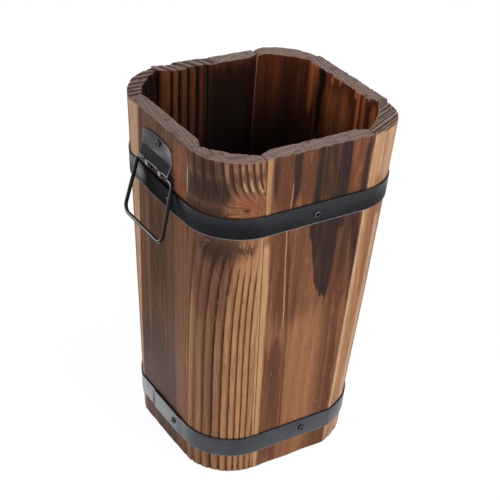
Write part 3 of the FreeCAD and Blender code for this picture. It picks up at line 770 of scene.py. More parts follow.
def buildStave(name, spec, material):
    skin = staveSkin(spec)
    u, z, seed = skin.u, skin.z, spec["seed"]
    burnAndShade, pale, warm, tone, knotty = staveMarks(spec, skin)
    calm = strongest(spec["calms"], u, z, 8, seed + 22) * skin.outer * (1 - 0.85 * knotty)
    bite = ease(0.3, 0.85, softNoise(u, 0, 4.2, 1, seed + 8)) * ease(0.6, 1.0, skin.share)
    sink = staveSink(spec, skin, burnAndShade, calm, bite)
    drop = spec["rimStep"] * (1 + skin.ridged * softNoise(np.floor(skin.ring), 0, 1, 1, seed + 21))
    drop = (drop - track(u, spec["rimRise"])) * ease(skin.top - 14, skin.top - 1.5, z)
    skin.points[..., 2] -= drop
    points = (skin.points - skin.normals * sink[..., None]).reshape(-1, 3)
    points = points @ np.array(spun(spec["turn"])).T * millimetre
    index, faces = wrapFaces(*skin.t.shape)
    faces += [index[0].tolist(), index[-1][::-1].tolist()]
    mesh = plainMesh(name + "_wood", points.tolist(), faces)
    innerLined = skin.ridged * np.where(skin.inner, min(1, spec["innerRelief"]), spec["rimLine"])
    layers = dict(
        ring=skin.ring, burnAndShade=singedAndShaded(spec, skin, burnAndShade), pale=pale, warm=warm, tone=tone,
        endGrain=skin.endGrain, inside=skin.inner, lined=np.where(skin.outer, 1 - calm, innerLined),
        # darker further down inside: painted shade, with some soot of the charred inside
        darkShade=staveWear["darkShade"] * (1 - ease(*staveWear["shadowy"], z)), raw=skin.rim * ease(0.5, 0.95, bite),
    )
    for key in layers:
        setLayer(mesh, key, layers[key])
    mesh.materials.append(material)
    smoothMesh(mesh, staveGrid["smooth"])
    settle(makeObject(name + "_wood", mesh), "pot", "stave_wood", name)


woodMaterials = {key: woodMaterial(key + "Wood", look) for key, look in woodLooks.items()}
for name, spec in staves.items():
    buildStave(name, spec, woodMaterials[spec["look"]])
print("staves:", len(staves))


# Painted steel

# The worn colour also paints highlights: the bands' lower edges, the plates' lips, side edges and tongues,
# and the bails' outer sides.
paintLooks = {
    "upperPaint": dict(colour="#08090b", dust="#17191c", worn="#9a9da2", rough=0.28, shine=0.5, dents=0.0),
    # the lower band's paint is a lighter copy of the upper's: painted reflection
    "lowerPaint": dict(colour="#202327", dust="#34383d", worn="#7b8087", rough=0.34, shine=0.6, dents=0.0),
    "wirePaint": dict(colour="#060607", dust="#0e0e10", worn="#a3a5a8", rough=0.12, shine=0.25, dents=0.0),
    "screwPaint": dict(colour="#060607", dust="#121314", worn="#6d7074", rough=0.24, shine=0.4, dents=0.0),
    "platePaint": dict(colour="#101016", dust="#1b1b22", worn="#b4b6bb", rough=0.18, shine=0.13, dents=0.003),
}
paintSheen = (0.86, 0.88, 1.0, 1.0)  # colour of the paint's reflections
# matte black laid over the paint as painted shade: the lap step's shadow and the shade under the handle
paintShade = dict(colour="#060606", rough=0.6, shine=0.04)


def paintMaterial(name, look):
    material, flow = newMaterial(name)
    cloud = stretched(flow, (38, 38, 38), 4.0)
    grain = stretched(flow, (2200, 2200, 2200), 1.0)
    hollow = stretched(flow, (26, 26, 26), 0.0)
    paintedShade, wearAndGlint = (readLayer(flow, key) for key in ("paintedShade", "wearAndGlint"))
    colour = cloud.between(0.42, 0.75).blend(tint(look["colour"]), tint(look["dust"]))
    # worn colour: wear, and painted highlights on edges, the plates' lips and tongues and the bails' outer
    # sides
    colour = (wearAndGlint.between(0.9, 0.98) * (0.35 + cloud)).blend(colour, tint(look["worn"]))
    bump = flow.add("ShaderNodeBump", {"Strength": 0.08, "Distance": 0.0002, "Height": grain})
    dents = {"Strength": 1.0, "Distance": look["dents"], "Height": hollow, "Normal": bump}
    paint = flow.add("ShaderNodeBsdfPrincipled", {
        "Base Color": colour,
        "Roughness": look["rough"] + 0.1 * (cloud - 0.5),
        "Normal": flow.add("ShaderNodeBump", dents),
        "Specular IOR Level": look["shine"],
        "Specular Tint": paintSheen,
    })
    darkShade = flow.add("ShaderNodeBsdfPrincipled", {
        "Base Color": tint(paintShade["colour"]),
        "Roughness": paintShade["rough"],
        "Normal": bump,
        "Specular IOR Level": paintShade["shine"],
    })
    # painted shade: the matte black covers the paint where the layer says, but not where the worn colour
    # shows
    shadowy = paintedShade * (1 - wearAndGlint.between(0.88, 0.94))
    both = flow.add("ShaderNodeMixShader", {0: shadowy, 1: paint, 2: darkShade})
    flow.add("ShaderNodeOutputMaterial", {"Surface": both})
    return material


paints = {key: paintMaterial(key, look) for key, look in paintLooks.items()}


# Geometry Nodes helpers


def newTree(name, sizes):
    # Tree with one geometry input, a float input for each size, a material input and a geometry output
    tree = bpy.data.node_groups.new(name, "GeometryNodeTree")
    tree.interface.new_socket("Geometry", in_out="INPUT", socket_type="NodeSocketGeometry")
    for size in sizes:
        tree.interface.new_socket(size, in_out="INPUT", socket_type="NodeSocketFloat")
    tree.interface.new_socket("Material", in_out="INPUT", socket_type="NodeSocketMaterial")
    tree.interface.new_socket("Geometry", in_out="OUTPUT", socket_type="NodeSocketGeometry")
    start = tree.nodes.new("NodeGroupInput")
    inputs = {socket.name: Flow(tree, socket) for socket in start.outputs if socket.name}
    return tree, Flow(tree), inputs


def endTree(flow, geometry, inputs):
    whole = flow.add("GeometryNodeRealizeInstances", {0: geometry})
    coated = flow.add("GeometryNodeSetMaterial", {"Geometry": whole, "Material": inputs["Material"]})
    flow.add("NodeGroupOutput", {0: coated})


def bentPath(flow, inputs, steps):
    # the path with each corner rounded to the bend that its point's radius holds
    bend = flow.add("GeometryNodeInputRadius")
    links = {"Curve": inputs["Geometry"], "Count": steps, "Radius": bend, "Limit Radius": True}
    path = flow.add("GeometryNodeFilletCurve", links, mode="POLY")
    return flow.add("GeometryNodeSetCurveRadius", {"Curve": path, "Radius": 1.0})


def swept(flow, path, outline):
    return flow.add("GeometryNodeCurveToMesh", {"Curve": path, "Profile Curve": outline, "Fill Caps": True})


def runTree(source, tree, values, name):
    # Gives the source its modifier, sets the inputs by identifier, and keeps the result as a plain mesh
    modifier = source.modifiers.new(tree.name, "NODES")
    modifier.node_group = tree
    for item in tree.interface.items_tree:
        if item.item_type == "SOCKET" and item.in_out == "INPUT" and item.name in values:
            modifier[item.identifier] = values[item.name]
    mesh = evaluatedMesh(source)
    source.modifiers.remove(modifier)
    data = source.data
    bpy.data.objects.remove(source)
    if isinstance(data, bpy.types.Curve):
        bpy.data.curves.remove(data)
    mesh.name = name
    return makeObject(name, mesh)


def newCurve(name):
    curve = bpy.data.curves.new(name, "CURVE")
    curve.dimensions = "3D"
    return curve


def addSpline(curve, places, radii):
    # poly spline through places in metres
    spline = curve.splines.new("POLY")
    spline.points.add(len(places) - 1)
    for spot, place, radius in zip(spline.points, places, radii):
        spot.co = (*place, 1)
        spot.radius = radius


def pathCurve(name, points, bends):
    # One spline, in which each point's radius holds the bend that the tree gives it
    curve = newCurve(name)
    places = [[c * millimetre for c in point] for point in points]
    addSpline(curve, places, [bend * millimetre for bend in bends])
    return makeObject(name, curve)


# Bands

bands = dict(
    thickness=1.2,
    clearance=0.15,
    edgeRound=0.35,
    lapTip=17.0,  # where the outer end stops, behind the middle of the left face
    lapHeel=-33.0,  # where the inner end stops
    lapRise=1.3,
    lapBend=20.0,  # radius of the step over the inner end
    stepStart=2.0,  # the step starts this far past the inner end
    stepEnd=3.0,  # and stops this far before the corner
    cornerSteps=28,
    tipSteps=(20, 9, 5.4, 5, -1),  # vertices of the inner layer, from the tip
    tipShade=5.2,  # painted shadow on the inner layer reaches this far from the tip
    innerLimit=0.9,  # the inner layer lies within its thickness and this much, off the wood
    paints={"upper_band": "upperPaint", "lower_band": "lowerPaint"},
    shadowy=[(-58, 0), (-40, 0.9), (20, 1.0), (26, 0.9), (37, 0.3), (60, 0)],  # (along the left side, share) of painted shade on the upper strap under the handle
    shadowyPast=-100,  # that painted shade lies to the left of this
)


def bandTree():
    sizes = ["Width", "Thickness", "Edge Round", "Taper", "Middle Height", "Side Half"]
    tree, flow, inputs = newTree("bentBand", sizes)
    path = bentPath(flow, inputs, 26)
    path = flow.add("GeometryNodeSetCurveNormal", {"Curve": path}, mode="Z_UP")
    sides = {"Width": inputs["Thickness"], "Height": inputs["Width"]}
    outline = flow.add("GeometryNodeCurvePrimitiveQuadrilateral", sides)
    rounding = {"Curve": outline, "Count": 4, "Radius": inputs["Edge Round"]}
    strap = swept(flow, path, flow.add("GeometryNodeFilletCurve", rounding, mode="POLY"))
    # the strap leans out with the tub: flats move straight out, corners along the diagonal
    place = flow.add("ShaderNodeSeparateXYZ", {0: flow.add("GeometryNodeInputPosition")})
    rise = (place.beside("Z") - inputs["Middle Height"]) * inputs["Taper"]
    shares = [{"Value": place.beside(axis) / inputs["Side Half"], "Min": -1.0, "Max": 1.0} for axis in "XY"]
    shift = {i: rise * flow.add("ShaderNodeClamp", share) for i, share in enumerate(shares)}
    shift = flow.add("ShaderNodeCombineXYZ", shift)
    strap = flow.add("GeometryNodeSetPosition", {"Geometry": strap, "Offset": shift})
    endTree(flow, strap, inputs)
    return tree


def bandPath(height):
    # Middle of the strap in plan, from the lapped tip round the tub to the heel
    middle = bands["clearance"] + bands["thickness"] / 2
    out = halfWidth(height) + middle
    raised = out + bands["lapRise"]
    tip, heel = bands["lapTip"], bands["lapHeel"]
    points = [(-raised, tip, height), (-raised, heel - bands["stepStart"], height)]
    points.append((-out, bands["stepEnd"] - sideHalf(height), height))
    bends = [0, bands["lapBend"], bands["lapBend"]]
    for name in ("front_left", "front_right", "rear_right", "rear_left"):
        spec = staves[name + "_corner_stave"]
        turn = np.linspace(0, math.pi / 2, bands["cornerSteps"])
        reach = tub["cornerRadius"] + middle - cornerPull(spec, turn, height)
        for angle, radius in zip(turn, reach):
            away = sideHalf(height) + radius * np.array([math.cos(angle), math.sin(angle)])
            points.append(tuple(spun(spec["turn"]) @ Vector((-away[0], -away[1], height))))
    points += [(-out, tip + step, height) for step in bands["tipSteps"]]
    points.append((-out, heel, height))
    return points, bends + [0] * (len(points) - len(bends))


bandShape = bandTree()
for node, height in tub["bandHeights"].items():
    sizes = {"Width": tub["bandWidth"], "Thickness": bands["thickness"], "Edge Round": bands["edgeRound"],
             "Middle Height": height, "Side Half": sideHalf(height)}
    values = {key: size * millimetre for key, size in sizes.items()}
    values.update({"Taper": taper, "Material": paints[bands["paints"][node]]})
    strap = runTree(pathCurve(node + "_path", *bandPath(height)), bandShape, values, node + "_strap")
    smoothMesh(strap.data, 40)
    x, y, z = (vertexValues(strap.data, "co").astype(float) / millimetre).T
    # the lower edge gets the worn colour: partly wear, partly painted highlight
    setLayer(strap.data, "wearAndGlint", (height - z) / halfBand)
    # painted shadow in the corner behind the lapped end, and painted shade on the upper strap under the
    # handle
    inner = x > -halfWidth(height) - bands["thickness"] - bands["innerLimit"]
    paintedShade = 1.0 * ((np.abs(y - bands["lapTip"]) < bands["tipShade"]) & (x < 0) & inner)
    if node == "upper_band":
        paintedShade = np.maximum(paintedShade, (x < bands["shadowyPast"]) * track(y, bands["shadowy"]))
    setLayer(strap.data, "paintedShade", paintedShade)
    settle(strap, "pot", "band_steel", node)


# Handles

bails = dict(
    wire=2.1,
    topHalf=37.0,
    bottomHalf=41.5,
    drop=66.5,
    topBend=5.5,
    bottomBend=9.0,
    endHalf=7.0,  # half the gap between the wire's two ends
    restAngle=12.3,
    glintFacing=(0.85, 0.0, 0.53),  # direction, out from the side, of the painted highlight along the wire
)


def bailTree():
    tree, flow, inputs = newTree("bentWire", ["Wire Radius"])
    ring = flow.add("GeometryNodeCurvePrimitiveCircle", {"Resolution": 24, "Radius": inputs["Wire Radius"]})
    endTree(flow, swept(flow, bentPath(flow, inputs, 14), ring), inputs)
    return tree


bailShape = bailTree()
for side, outward in (("left", -1), ("right", 1)):
    joint = next(j for j in frame["joints"] if j["name"] == side + "_handle_swing")
    pivot = Vector(joint["pos_m"]) / millimetre
    lean = math.radians(bails["restAngle"])
    down = Vector((outward * math.sin(lean), 0, -math.cos(lean))) * bails["drop"]
    half = [Vector((0, bails[key], 0)) for key in ("endHalf", "topHalf", "bottomHalf")]
    half[2] = half[2] + down
    mirrored = [Vector((spot.x, -spot.y, spot.z)) for spot in reversed(half)]
    bends = [0, bails["topBend"], bails["bottomBend"]]
    path = pathCurve(side + "_bail_path", [pivot + spot for spot in half + mirrored], bends + bends[::-1])
    values = {"Wire Radius": bails["wire"] * millimetre, "Material": paints["wirePaint"]}
    wire = runTree(path, bailShape, values, side + "_bail_wire")
    smoothMesh(wire.data, 40)
    # painted highlight on the side of the wire that faces this direction
    glintFacing = np.array(bails["glintFacing"]) * (outward, 1, 1)
    setLayer(wire.data, "wearAndGlint", vertexValues(wire.data, "normal") @ glintFacing)
    settle(wire, side + "_handle", "bail_wire", side + "_bail")


plates = dict(
    pivotHeight=352.0,
    sheet=1.0,
    halfWidth=30.5,
    crease=17.0,  # heights above the pivot: crease of the hood, its lip, and the arched top edge
    lip=5.0,
    shoulder=34.5,
    top=39.0,
    corner=6.0,
    bend=1.5,
    curl=2.16,
    tongue=(11.5, 16.5),
    slit=1.0,
    slitDepth=5.0,
    tongueEnd=2.0,
    rounding=0.22,
    flangeRows=16,
    insets=(2.5, 1.5, 0.7, 0.3, 0.08, 0),  # vertices near the side edges
)


def bentSection():
    # Outer surface of the bent sheet as (up, out) points from the crease to the tongue's end
    sheet, curl = plates["sheet"], plates["curl"]
    front, back = 2 * curl + sheet, sheet
    corners = [(plates["top"], 0), (plates["crease"], 0), (plates["lip"], front)]
    corners = np.array(corners + [(-curl, front), (-curl, back), (plates["tongueEnd"], back)], float)
    radii = [plates["bend"] + sheet, plates["bend"], curl, curl]
    spots = []
    for before, corner, after, radius in zip(corners[:-2], corners[1:-1], corners[2:], radii):
        to, on = ((end - corner) / np.linalg.norm(end - corner) for end in (before, after))
        half = math.acos(np.clip(to @ on, -1, 1)) / 2
        middle = corner + (to + on) / np.linalg.norm(to + on) * radius / math.sin(half)
        start, stop = (corner + way * radius / math.tan(half) for way in (to, on))
        for share in np.linspace(0, 1, 9):
            ray = (start - middle) * (1 - share) + (stop - middle) * share
            spots.append(middle + ray / np.linalg.norm(ray) * radius)
    spots.append(corners[-1])
    path = np.array(spots)
    step = np.append(0, np.cumsum(np.linalg.norm(np.diff(path, axis=0), axis=1)))
    fine = np.unique(np.concatenate([step, np.arange(0, step[-1], 0.7)]))
    path = np.stack([np.interp(fine, step, path[:, i]) for i in range(2)], -1)
    along = np.gradient(path, axis=0)
    along /= np.linalg.norm(along, axis=1, keepdims=True)
    return path + sheet * np.stack([along[:, 1], -along[:, 0]], -1)


def flangeTop(x):
    # Upper outline: an arch with rounded ends
    rise = plates["top"] - plates["shoulder"]
    arch = (plates["halfWidth"] ** 2 + rise ** 2) / (2 * rise)
    base = plates["top"] - arch
    reach = plates["halfWidth"] - plates["corner"]
    end = base + math.sqrt((arch - plates["corner"]) ** 2 - reach ** 2)
    touch = reach * arch / (arch - plates["corner"])
    rounded = end + np.sqrt(np.clip(plates["corner"] ** 2 - (np.abs(x) - reach) ** 2, 0, None))
    return np.where(np.abs(x) > touch, rounded, base + np.sqrt(arch ** 2 - x ** 2))


def cleaned(mesh, step):
    # runs one bmesh step on the mesh
    shape = bmesh.new()
    shape.from_mesh(mesh)
    step(shape)
    shape.to_mesh(mesh)
    shape.free()


def dropLoose(shape):
    loose = [vertex for vertex in shape.verts if not vertex.link_faces]
    bmesh.ops.delete(shape, geom=loose, context="VERTS")


def joinDoubles(shape):
    bmesh.ops.remove_doubles(shape, verts=shape.verts, dist=1e-6)


def hingeSheet(side, turn):
    near, far = plates["tongue"]
    slit, width, flange = plates["slit"], plates["halfWidth"], plates["flangeRows"]
    marks = [near - slit, near, far, far + slit] + [width - inset for inset in plates["insets"]]
    plain = width - 3.5
    x = np.concatenate([np.linspace(-plain, plain, 46), marks, [-mark for mark in marks]])
    x = np.unique(np.round(x, 3))
    section = bentSection()
    lipRow = int(np.argmax(section[:, 0] < plates["lip"]))
    section[lipRow, 0] = plates["lip"]
    slitRow = int(np.argmax(section[:, 0] < plates["lip"] + plates["slitDepth"]))
    share = np.linspace(0, 1, flange, endpoint=False)[:, None]
    up = np.concatenate([flangeTop(x) * (1 - share) + section[0, 0] * share, section[:, :1] + 0 * x])
    out = np.concatenate([section[0, 1] + 0 * share, section[:, 1:]]) + 0 * x
    lipRow, slitRow = lipRow + flange, slitRow + flange
    rows, count = up.shape
    middle = np.abs((x[:-1] + x[1:]) / 2)
    inTongue = (middle > near) & (middle < far)
    inSlit = (middle > near - slit) & (middle < far + slit) & ~inTongue
    keep = np.ones((rows - 1, count - 1), bool)
    keep[lipRow:] = inTongue
    keep[slitRow:lipRow] &= ~inSlit
    spots = np.stack([x + 0 * up, up, out], -1)
    fall, lie = math.sin(tilt), math.cos(tilt)
    slant = np.array([[1, 0, 0], [0, -fall, lie], [0, -lie, -fall]])
    height = plates["pivotHeight"]
    spots = spots.reshape(-1, 3) @ slant + np.array([0, -halfWidth(height), height])
    spots = spots @ np.array(spun(turn)).T * millimetre
    index = np.arange(rows * count).reshape(rows, count)
    quads = np.stack([index[:-1, :-1], index[1:, :-1], index[1:, 1:], index[:-1, 1:]], -1)[keep]
    # painted highlights in the worn colour along the lip, along the side edges and on the tongues
    besideTongue = np.abs(np.abs(x) - (near + far) / 2) > (far - near) / 2 + slit
    run = np.cumsum(np.linalg.norm(np.diff(section, axis=0), axis=1))
    run = np.append(np.zeros(flange + 1), run)[:, None]
    wearAndGlint = ease(-1.7, -1.3, run - run[lipRow]) * besideTongue
    wearAndGlint = np.maximum(wearAndGlint, 0.95 * ease(width - 0.7, width - 0.3, np.abs(x)))
    wearAndGlint = np.maximum(wearAndGlint, 0.94 * (np.arange(rows)[:, None] > lipRow))
    mesh = plainMesh(side + "_hinge_sheet", spots.tolist(), quads.tolist())
    setLayer(mesh, "wearAndGlint", wearAndGlint * np.ones((rows, count)))
    cleaned(mesh, dropLoose)
    mesh.materials.append(paints["platePaint"])
    return mesh


def finished(mesh, name, thickness, rounding):
    # Plain mesh with thickness, rounded edges and even shading
    piece = makeObject(name, mesh)
    if thickness:
        solid = piece.modifiers.new("solid", "SOLIDIFY")
        solid.thickness = thickness * millimetre
        solid.offset = -1
        solid.use_even_offset = True
    bevel = piece.modifiers.new("rounded", "BEVEL")
    bevel.width = rounding * millimetre
    bevel.segments = 2
    bevel.limit_method = "ANGLE"
    bevel.angle_limit = math.radians(50)
    smoothMesh(mesh, 40)
    weighted = piece.modifiers.new("weighted", "WEIGHTED_NORMAL")
    weighted.weight = 100
    weighted.keep_sharp = True
    piece.data = evaluatedMesh(piece)
    piece.modifiers.clear()
    return piece


for side, turn in (("left", -90), ("right", 90)):
    plate = finished(hingeSheet(side, turn), side + "_hinge_sheet", plates["sheet"], plates["rounding"])
    settle(plate, "pot", "band_steel", side + "_hinge_plate")


# Screws

screws = dict(
    headRadius=4.0,
    headHeight=2.4,
    slotHalf=0.5,
    slotLength=2.1,
    slotDepth=1.3,
    worn=0.7,  # the ring that is worn most, as a share of the radius
    seed=5,
    shifts={"upper_band": 0.0, "lower_band": 13.0},  # from the middle of three sides
    lapShift=28.0,  # on the left side, where the band laps
    plateShift=4.5,
    plateHeight=382.97,
)


def screwHead():
    # Domed pan head with a cross recess, standing on Z = 0
    rings, turns = 26, 72
    wide, tall, deep = screws["headRadius"], screws["headHeight"], screws["slotDepth"]
    radius = np.concatenate([np.linspace(0.15, 0.86, rings - 6), np.linspace(0.9, 1, 6)]) * wide
    angle = np.linspace(0, 2 * math.pi, turns, endpoint=False)
    r, a = np.meshgrid(radius, angle, indexing="ij")
    x, y = r * np.cos(a), r * np.sin(a)
    half, long = screws["slotHalf"], screws["slotLength"]
    thin = [1 - ease(half - 0.12, half + 0.15, np.abs(p)) for p in (x, y)]
    ends = [1 - ease(long - 0.4, long, np.abs(p)) for p in (y, x)]
    z = tall * np.clip(1 - (r / wide) ** 3.4, 0, 1) ** 0.55
    z = z - deep * np.maximum(thin[0] * ends[0], thin[1] * ends[1])
    spots = np.stack([x, y, z], -1).reshape(-1, 3).tolist()
    spots.append((0, 0, tall - deep))
    index, faces = wrapFaces(rings, turns)
    faces += [[rings * turns, int(i), int(j)] for i, j in zip(index[0], np.roll(index[0], -1))]
    faces.append(index[-1][::-1].tolist())
    mesh = plainMesh("screwHead", [tuple(c * millimetre for c in spot) for spot in spots], faces)
    shares = np.append(r.ravel() / wide, 0)
    setLayer(mesh, "wearAndGlint", np.exp(-((shares - screws["worn"]) / 0.32) ** 2))
    smoothMesh(mesh, 45)
    return makeObject("screwHead", mesh)


def screwTree(head):
    tree, flow, inputs = newTree("screwRow", ["Size"])
    facing = flow.add("GeometryNodeInputNamedAttribute", {"Name": "facing"}, data_type="FLOAT_VECTOR")
    spin = flow.add("FunctionNodeAlignRotationToVector", {"Vector": facing}, axis="Z")
    limits = {2: 0.0, 3: math.pi / 2, "Seed": screws["seed"]}
    turn = flow.add("FunctionNodeRandomValue", limits, out=1, data_type="FLOAT")
    angles = flow.add("ShaderNodeCombineXYZ", {2: turn})
    spin = flow.add("FunctionNodeRotateRotation", {0: spin, 1: angles}, rotation_space="LOCAL")
    shape = flow.add("GeometryNodeObjectInfo", {"Object": head}, out=4)
    seats = {"Points": inputs["Geometry"], "Instance": shape, "Rotation": spin, "Scale": inputs["Size"]}
    endTree(flow, flow.add("GeometryNodeInstanceOnPoints", seats), inputs)
    return tree


def screwSpots():
    # Seats of all ten screws as (side turn, across, height, above the wood)
    reach = bands["clearance"] + bands["thickness"]
    spots = []
    for band, height in tub["bandHeights"].items():
        spots += [(turn, screws["shifts"][band], height, reach) for turn in (0, 90, 180)]
        spots.append((-90, screws["lapShift"], height, reach + bands["lapRise"]))
    spots += [(turn, screws["plateShift"], screws["plateHeight"], plates["sheet"]) for turn in (-90, 90)]
    out = Vector((0, -math.cos(tilt), -math.sin(tilt)))
    points, facings = [], []
    for turn, across, height, seat in spots:
        points.append(spun(turn) @ (Vector((across, -halfWidth(height), height)) + out * seat) * millimetre)
        facings.append(spun(turn) @ out)
    return points, facings


head = screwHead()
points, facings = screwSpots()
seats = plainMesh("screwSeats", [tuple(point) for point in points], [])
layer = seats.attributes.new("facing", "FLOAT_VECTOR", "POINT")
layer.data.foreach_set("vector", np.array(facings, np.float32).ravel())
values = {"Size": 1.0, "Material": paints["screwPaint"]}
row = runTree(makeObject("screwSeats", seats), screwTree(head), values, "screw_heads")
bpy.data.objects.remove(head)
smoothMesh(row.data, 45)
settle(row, "pot", "screw_steel",
       "upper_band_screws", "lower_band_screws", "left_plate_screw", "right_plate_screw")
print("screws:", len(points), "heads")


# Splinters that stand off the brushed faces

splinterLook = dict(thickness=0.2, light="#c89a78", dark="#a07050", sunk=0.15)


def splinterTree():
    tree, flow, inputs = newTree("splinters", ["Thickness"])
    ring = flow.add("GeometryNodeCurvePrimitiveCircle", {"Resolution": 6, "Radius": inputs["Thickness"]})
    endTree(flow, swept(flow, inputs["Geometry"], ring), inputs)
    return tree


def splinterMaterial():
    material, flow = newMaterial("splinterWood")
    fibre = stretched(flow, (700, 700, 90), 2.0)
    colour = fibre.between(0.3, 0.7).blend(tint(splinterLook["dark"]), tint(splinterLook["light"]))
    closeMaterial(flow, {"Base Color": colour, "Roughness": 0.55 + 0.2 * fibre})
    return material


def splinterPath():
    # One spline for each splinter, tapered to its ends, just under the plain surface of its stave
    curve = newCurve("splinterPath")
    for spec in staves.values():
        for spots in spec["splinters"]:
            fine = np.linspace(0, len(spots) - 1, 4 * len(spots))
            u, z = (np.interp(fine, np.arange(len(spots)), places) for places in zip(*spots))
            places = stavePoints(spec, u / staveReach(spec, z), 0 * u, 0 * u + splinterLook["sunk"], z)[0]
            places = [spun(spec["turn"]) @ Vector(place) * millimetre for place in places]
            radii = [0.35 + 0.65 * math.sin(share) for share in np.linspace(0, math.pi, len(places))]
            addSpline(curve, places, radii)
    return makeObject("splinterPath", curve)


values = {"Thickness": splinterLook["thickness"] * millimetre, "Material": splinterMaterial()}
hairs = runTree(splinterPath(), splinterTree(), values, "wood_splinters")
smoothMesh(hairs.data, 60)
settle(hairs, "pot", "stave_wood")
print("splinters:", sum(len(spec["splinters"]) for spec in staves.values()))


# Floor planks

plankLook = dict(light="#6b4d36", dark="#3c2a1f", rough=0.75, rounding=0.8)


def plankMaterial():
    material, flow = newMaterial("sawnPlank")
    fibre = stretched(flow, (24, 900, 900), 3.0)
    streak = stretched(flow, (5, 120, 120), 2.0)
    saw = stretched(flow, (520, 12, 12), 1.0)
    colour = streak.between(0.3, 0.7).blend(tint(plankLook["dark"]), tint(plankLook["light"]))
    height = fibre * 0.6 + saw * 0.4
    bump = flow.add("ShaderNodeBump", {"Strength": 0.4, "Distance": 0.0005, "Height": height})
    roughness = plankLook["rough"] + 0.15 * (fibre - 0.5)
    closeMaterial(flow, {"Base Color": colour, "Roughness": roughness, "Normal": bump})
    return material


plankWood = plankMaterial()
for node in ("front_floor_plank", "rear_floor_plank"):
    mesh = frame["nodes"][node].data.copy()
    cleaned(mesh, joinDoubles)
    mesh.materials.clear()
    mesh.materials.append(plankWood)
    settle(finished(mesh, node + "_wood", 0, plankLook["rounding"]), "pot", "floor_wood", node)


# Stage: white floor that keeps a soft shadow, studio light and the photo's camera

# Glossy surfaces see a white floor close to the pot and far away, a dim ring between, and patches of
# (x, y, size, strength) in it.
stage = dict(
    floorHalf=6.0,
    floorWhite=0.82,
    floorGlow=0.88,
    glowStrength=1.06,
    ringLeast=0.16,
    ringStart=(0.2, 0.4),
    ringEnd=(0.655, 0.76),
    patches=[
        (-0.435, 0.51, 0.075, 0.9), (-0.36, 0.565, 0.085, 6.0), (0.3, -0.58, 0.22, 0.55),
        (-0.2, 0.09, 0.16, 1.6), (0.44, 0.34, 0.2, 0.9),
    ],
    potShade=(0.09, 0.1),  # the floor glows only outside the pot's foot
    worldLight=0.55,
)
softBoxes = {
    "keyLight": dict(place=(0.6, -1.9, 1.5), target=(0, 0, 0.22), size=0.7, power=26.0),
    "fillLight": dict(place=(-2.0, -0.6, 1.2), target=(0, 0, 0.22), size=1.4, power=9.0),
    "topLight": dict(place=(0.1, 0.2, 2.4), target=(0, 0, 0.3), size=1.2, power=8.0),
}


def lightRays(flow):
    # rays from the camera, also through glass, those off a glossy surface, and both
    camera = flow.add("ShaderNodeLightPath", out="Is Camera Ray")
    direct = flow.maths("MAXIMUM", camera, camera.beside("Is Transmission Ray"))
    glossy = camera.beside("Is Glossy Ray")
    return direct, glossy, flow.maths("MAXIMUM", direct, glossy)


def floorMaterial():
    material, flow = newMaterial("studioFloorWhite")
    direct, glossy, seen = lightRays(flow)
    spot = flow.add("ShaderNodeTexCoord", out=3)
    away = flow.add("ShaderNodeVectorMath", {0: spot}, out=1, operation="LENGTH")
    ring = away.between(*stage["ringStart"]) * (1 - away.between(*stage["ringEnd"]))
    mirrored = 1 - (1 - stage["ringLeast"]) * ring
    for x, y, size, amount in stage["patches"]:
        gap = flow.add("ShaderNodeVectorMath", {0: spot, 1: (x, y, 0)}, out=1, operation="DISTANCE")
        mirrored = mirrored + amount * (1 - gap.between(0.3 * size, size))
    bright = direct * stage["glowStrength"] + glossy * mirrored
    white = flow.add("ShaderNodeEmission", {"Color": (1, 1, 1, 1), "Strength": bright})
    matte = flow.add("ShaderNodeBsdfDiffuse", {"Color": (stage["floorWhite"],) * 3 + (1,)})
    glow = seen * away.between(*stage["potShade"]) * stage["floorGlow"]
    mixed = flow.add("ShaderNodeMixShader", {0: glow, 1: matte, 2: white})
    flow.add("ShaderNodeOutputMaterial", {"Surface": mixed})
    return material


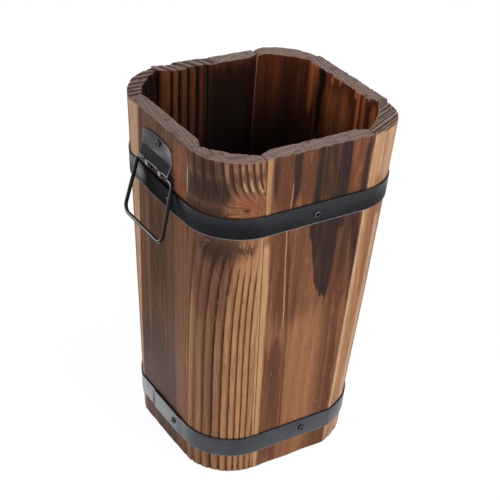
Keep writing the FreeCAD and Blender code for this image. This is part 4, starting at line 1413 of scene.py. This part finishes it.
half = stage["floorHalf"]
floorCorners = [(-half, -half, 0), (half, -half, 0), (half, half, 0), (-half, half, 0)]
floorMesh = plainMesh("studioFloor", floorCorners, [(0, 1, 2, 3)])
floorMesh.materials.append(floorMaterial())
makeObject("studioFloor", floorMesh)

world = bpy.data.worlds.new("studio")
scene.world = world
world.use_nodes = True
world.node_tree.nodes.clear()
flow = Flow(world.node_tree)
strength = stage["worldLight"] + lightRays(flow)[2] * (1 - stage["worldLight"])
background = flow.add("ShaderNodeBackground", {"Color": (1, 1, 1, 1), "Strength": strength})
flow.add("ShaderNodeOutputWorld", {"Surface": background})

for name, box in softBoxes.items():
    lamp = bpy.data.lights.new(name, "AREA")
    lamp.shape = "RECTANGLE"
    lamp.size = box["size"]
    lamp.size_y = box["size"]
    lamp.energy = box["power"]
    made = makeObject(name, lamp)
    made.location = box["place"]
    toward = Vector(box["target"]) - Vector(box["place"])
    made.rotation_euler = toward.to_track_quat("-Z", "Y").to_euler()

# Lengths in metres, the focal length in pixels of the photo and the sensor in millimetres
cameraView = dict(
    azimuth=-33.26, elevation=31.53, roll=3.35, target=(0, 0, 0.22), distance=1.451,
    focal=1291.5, pixels=500, sensor=36.0, nearest=0.05, furthest=50.0,
)
azimuth, elevation, roll = (math.radians(cameraView[key]) for key in ("azimuth", "elevation", "roll"))
level = Vector((math.cos(azimuth), math.sin(azimuth), 0))
flat = math.cos(elevation)
back = Vector((math.sin(azimuth) * flat, -math.cos(azimuth) * flat, math.sin(elevation)))
upright = back.cross(level)
right = math.cos(roll) * level + math.sin(roll) * upright
up = -math.sin(roll) * level + math.cos(roll) * upright
lens = bpy.data.cameras.new("camera")
lens.sensor_width = cameraView["sensor"]
lens.lens = cameraView["focal"] * cameraView["sensor"] / cameraView["pixels"]
lens.clip_start = cameraView["nearest"]
lens.clip_end = cameraView["furthest"]
viewer = makeObject("camera", lens)
axes = Matrix((right, up, back)).transposed().to_4x4()
eye = Vector(cameraView["target"]) + back * cameraView["distance"]
viewer.matrix_world = Matrix.Translation(eye) @ axes
scene.camera = viewer
scene.view_settings.view_transform = "Standard"
print("stage: floor, world, three soft boxes and camera")
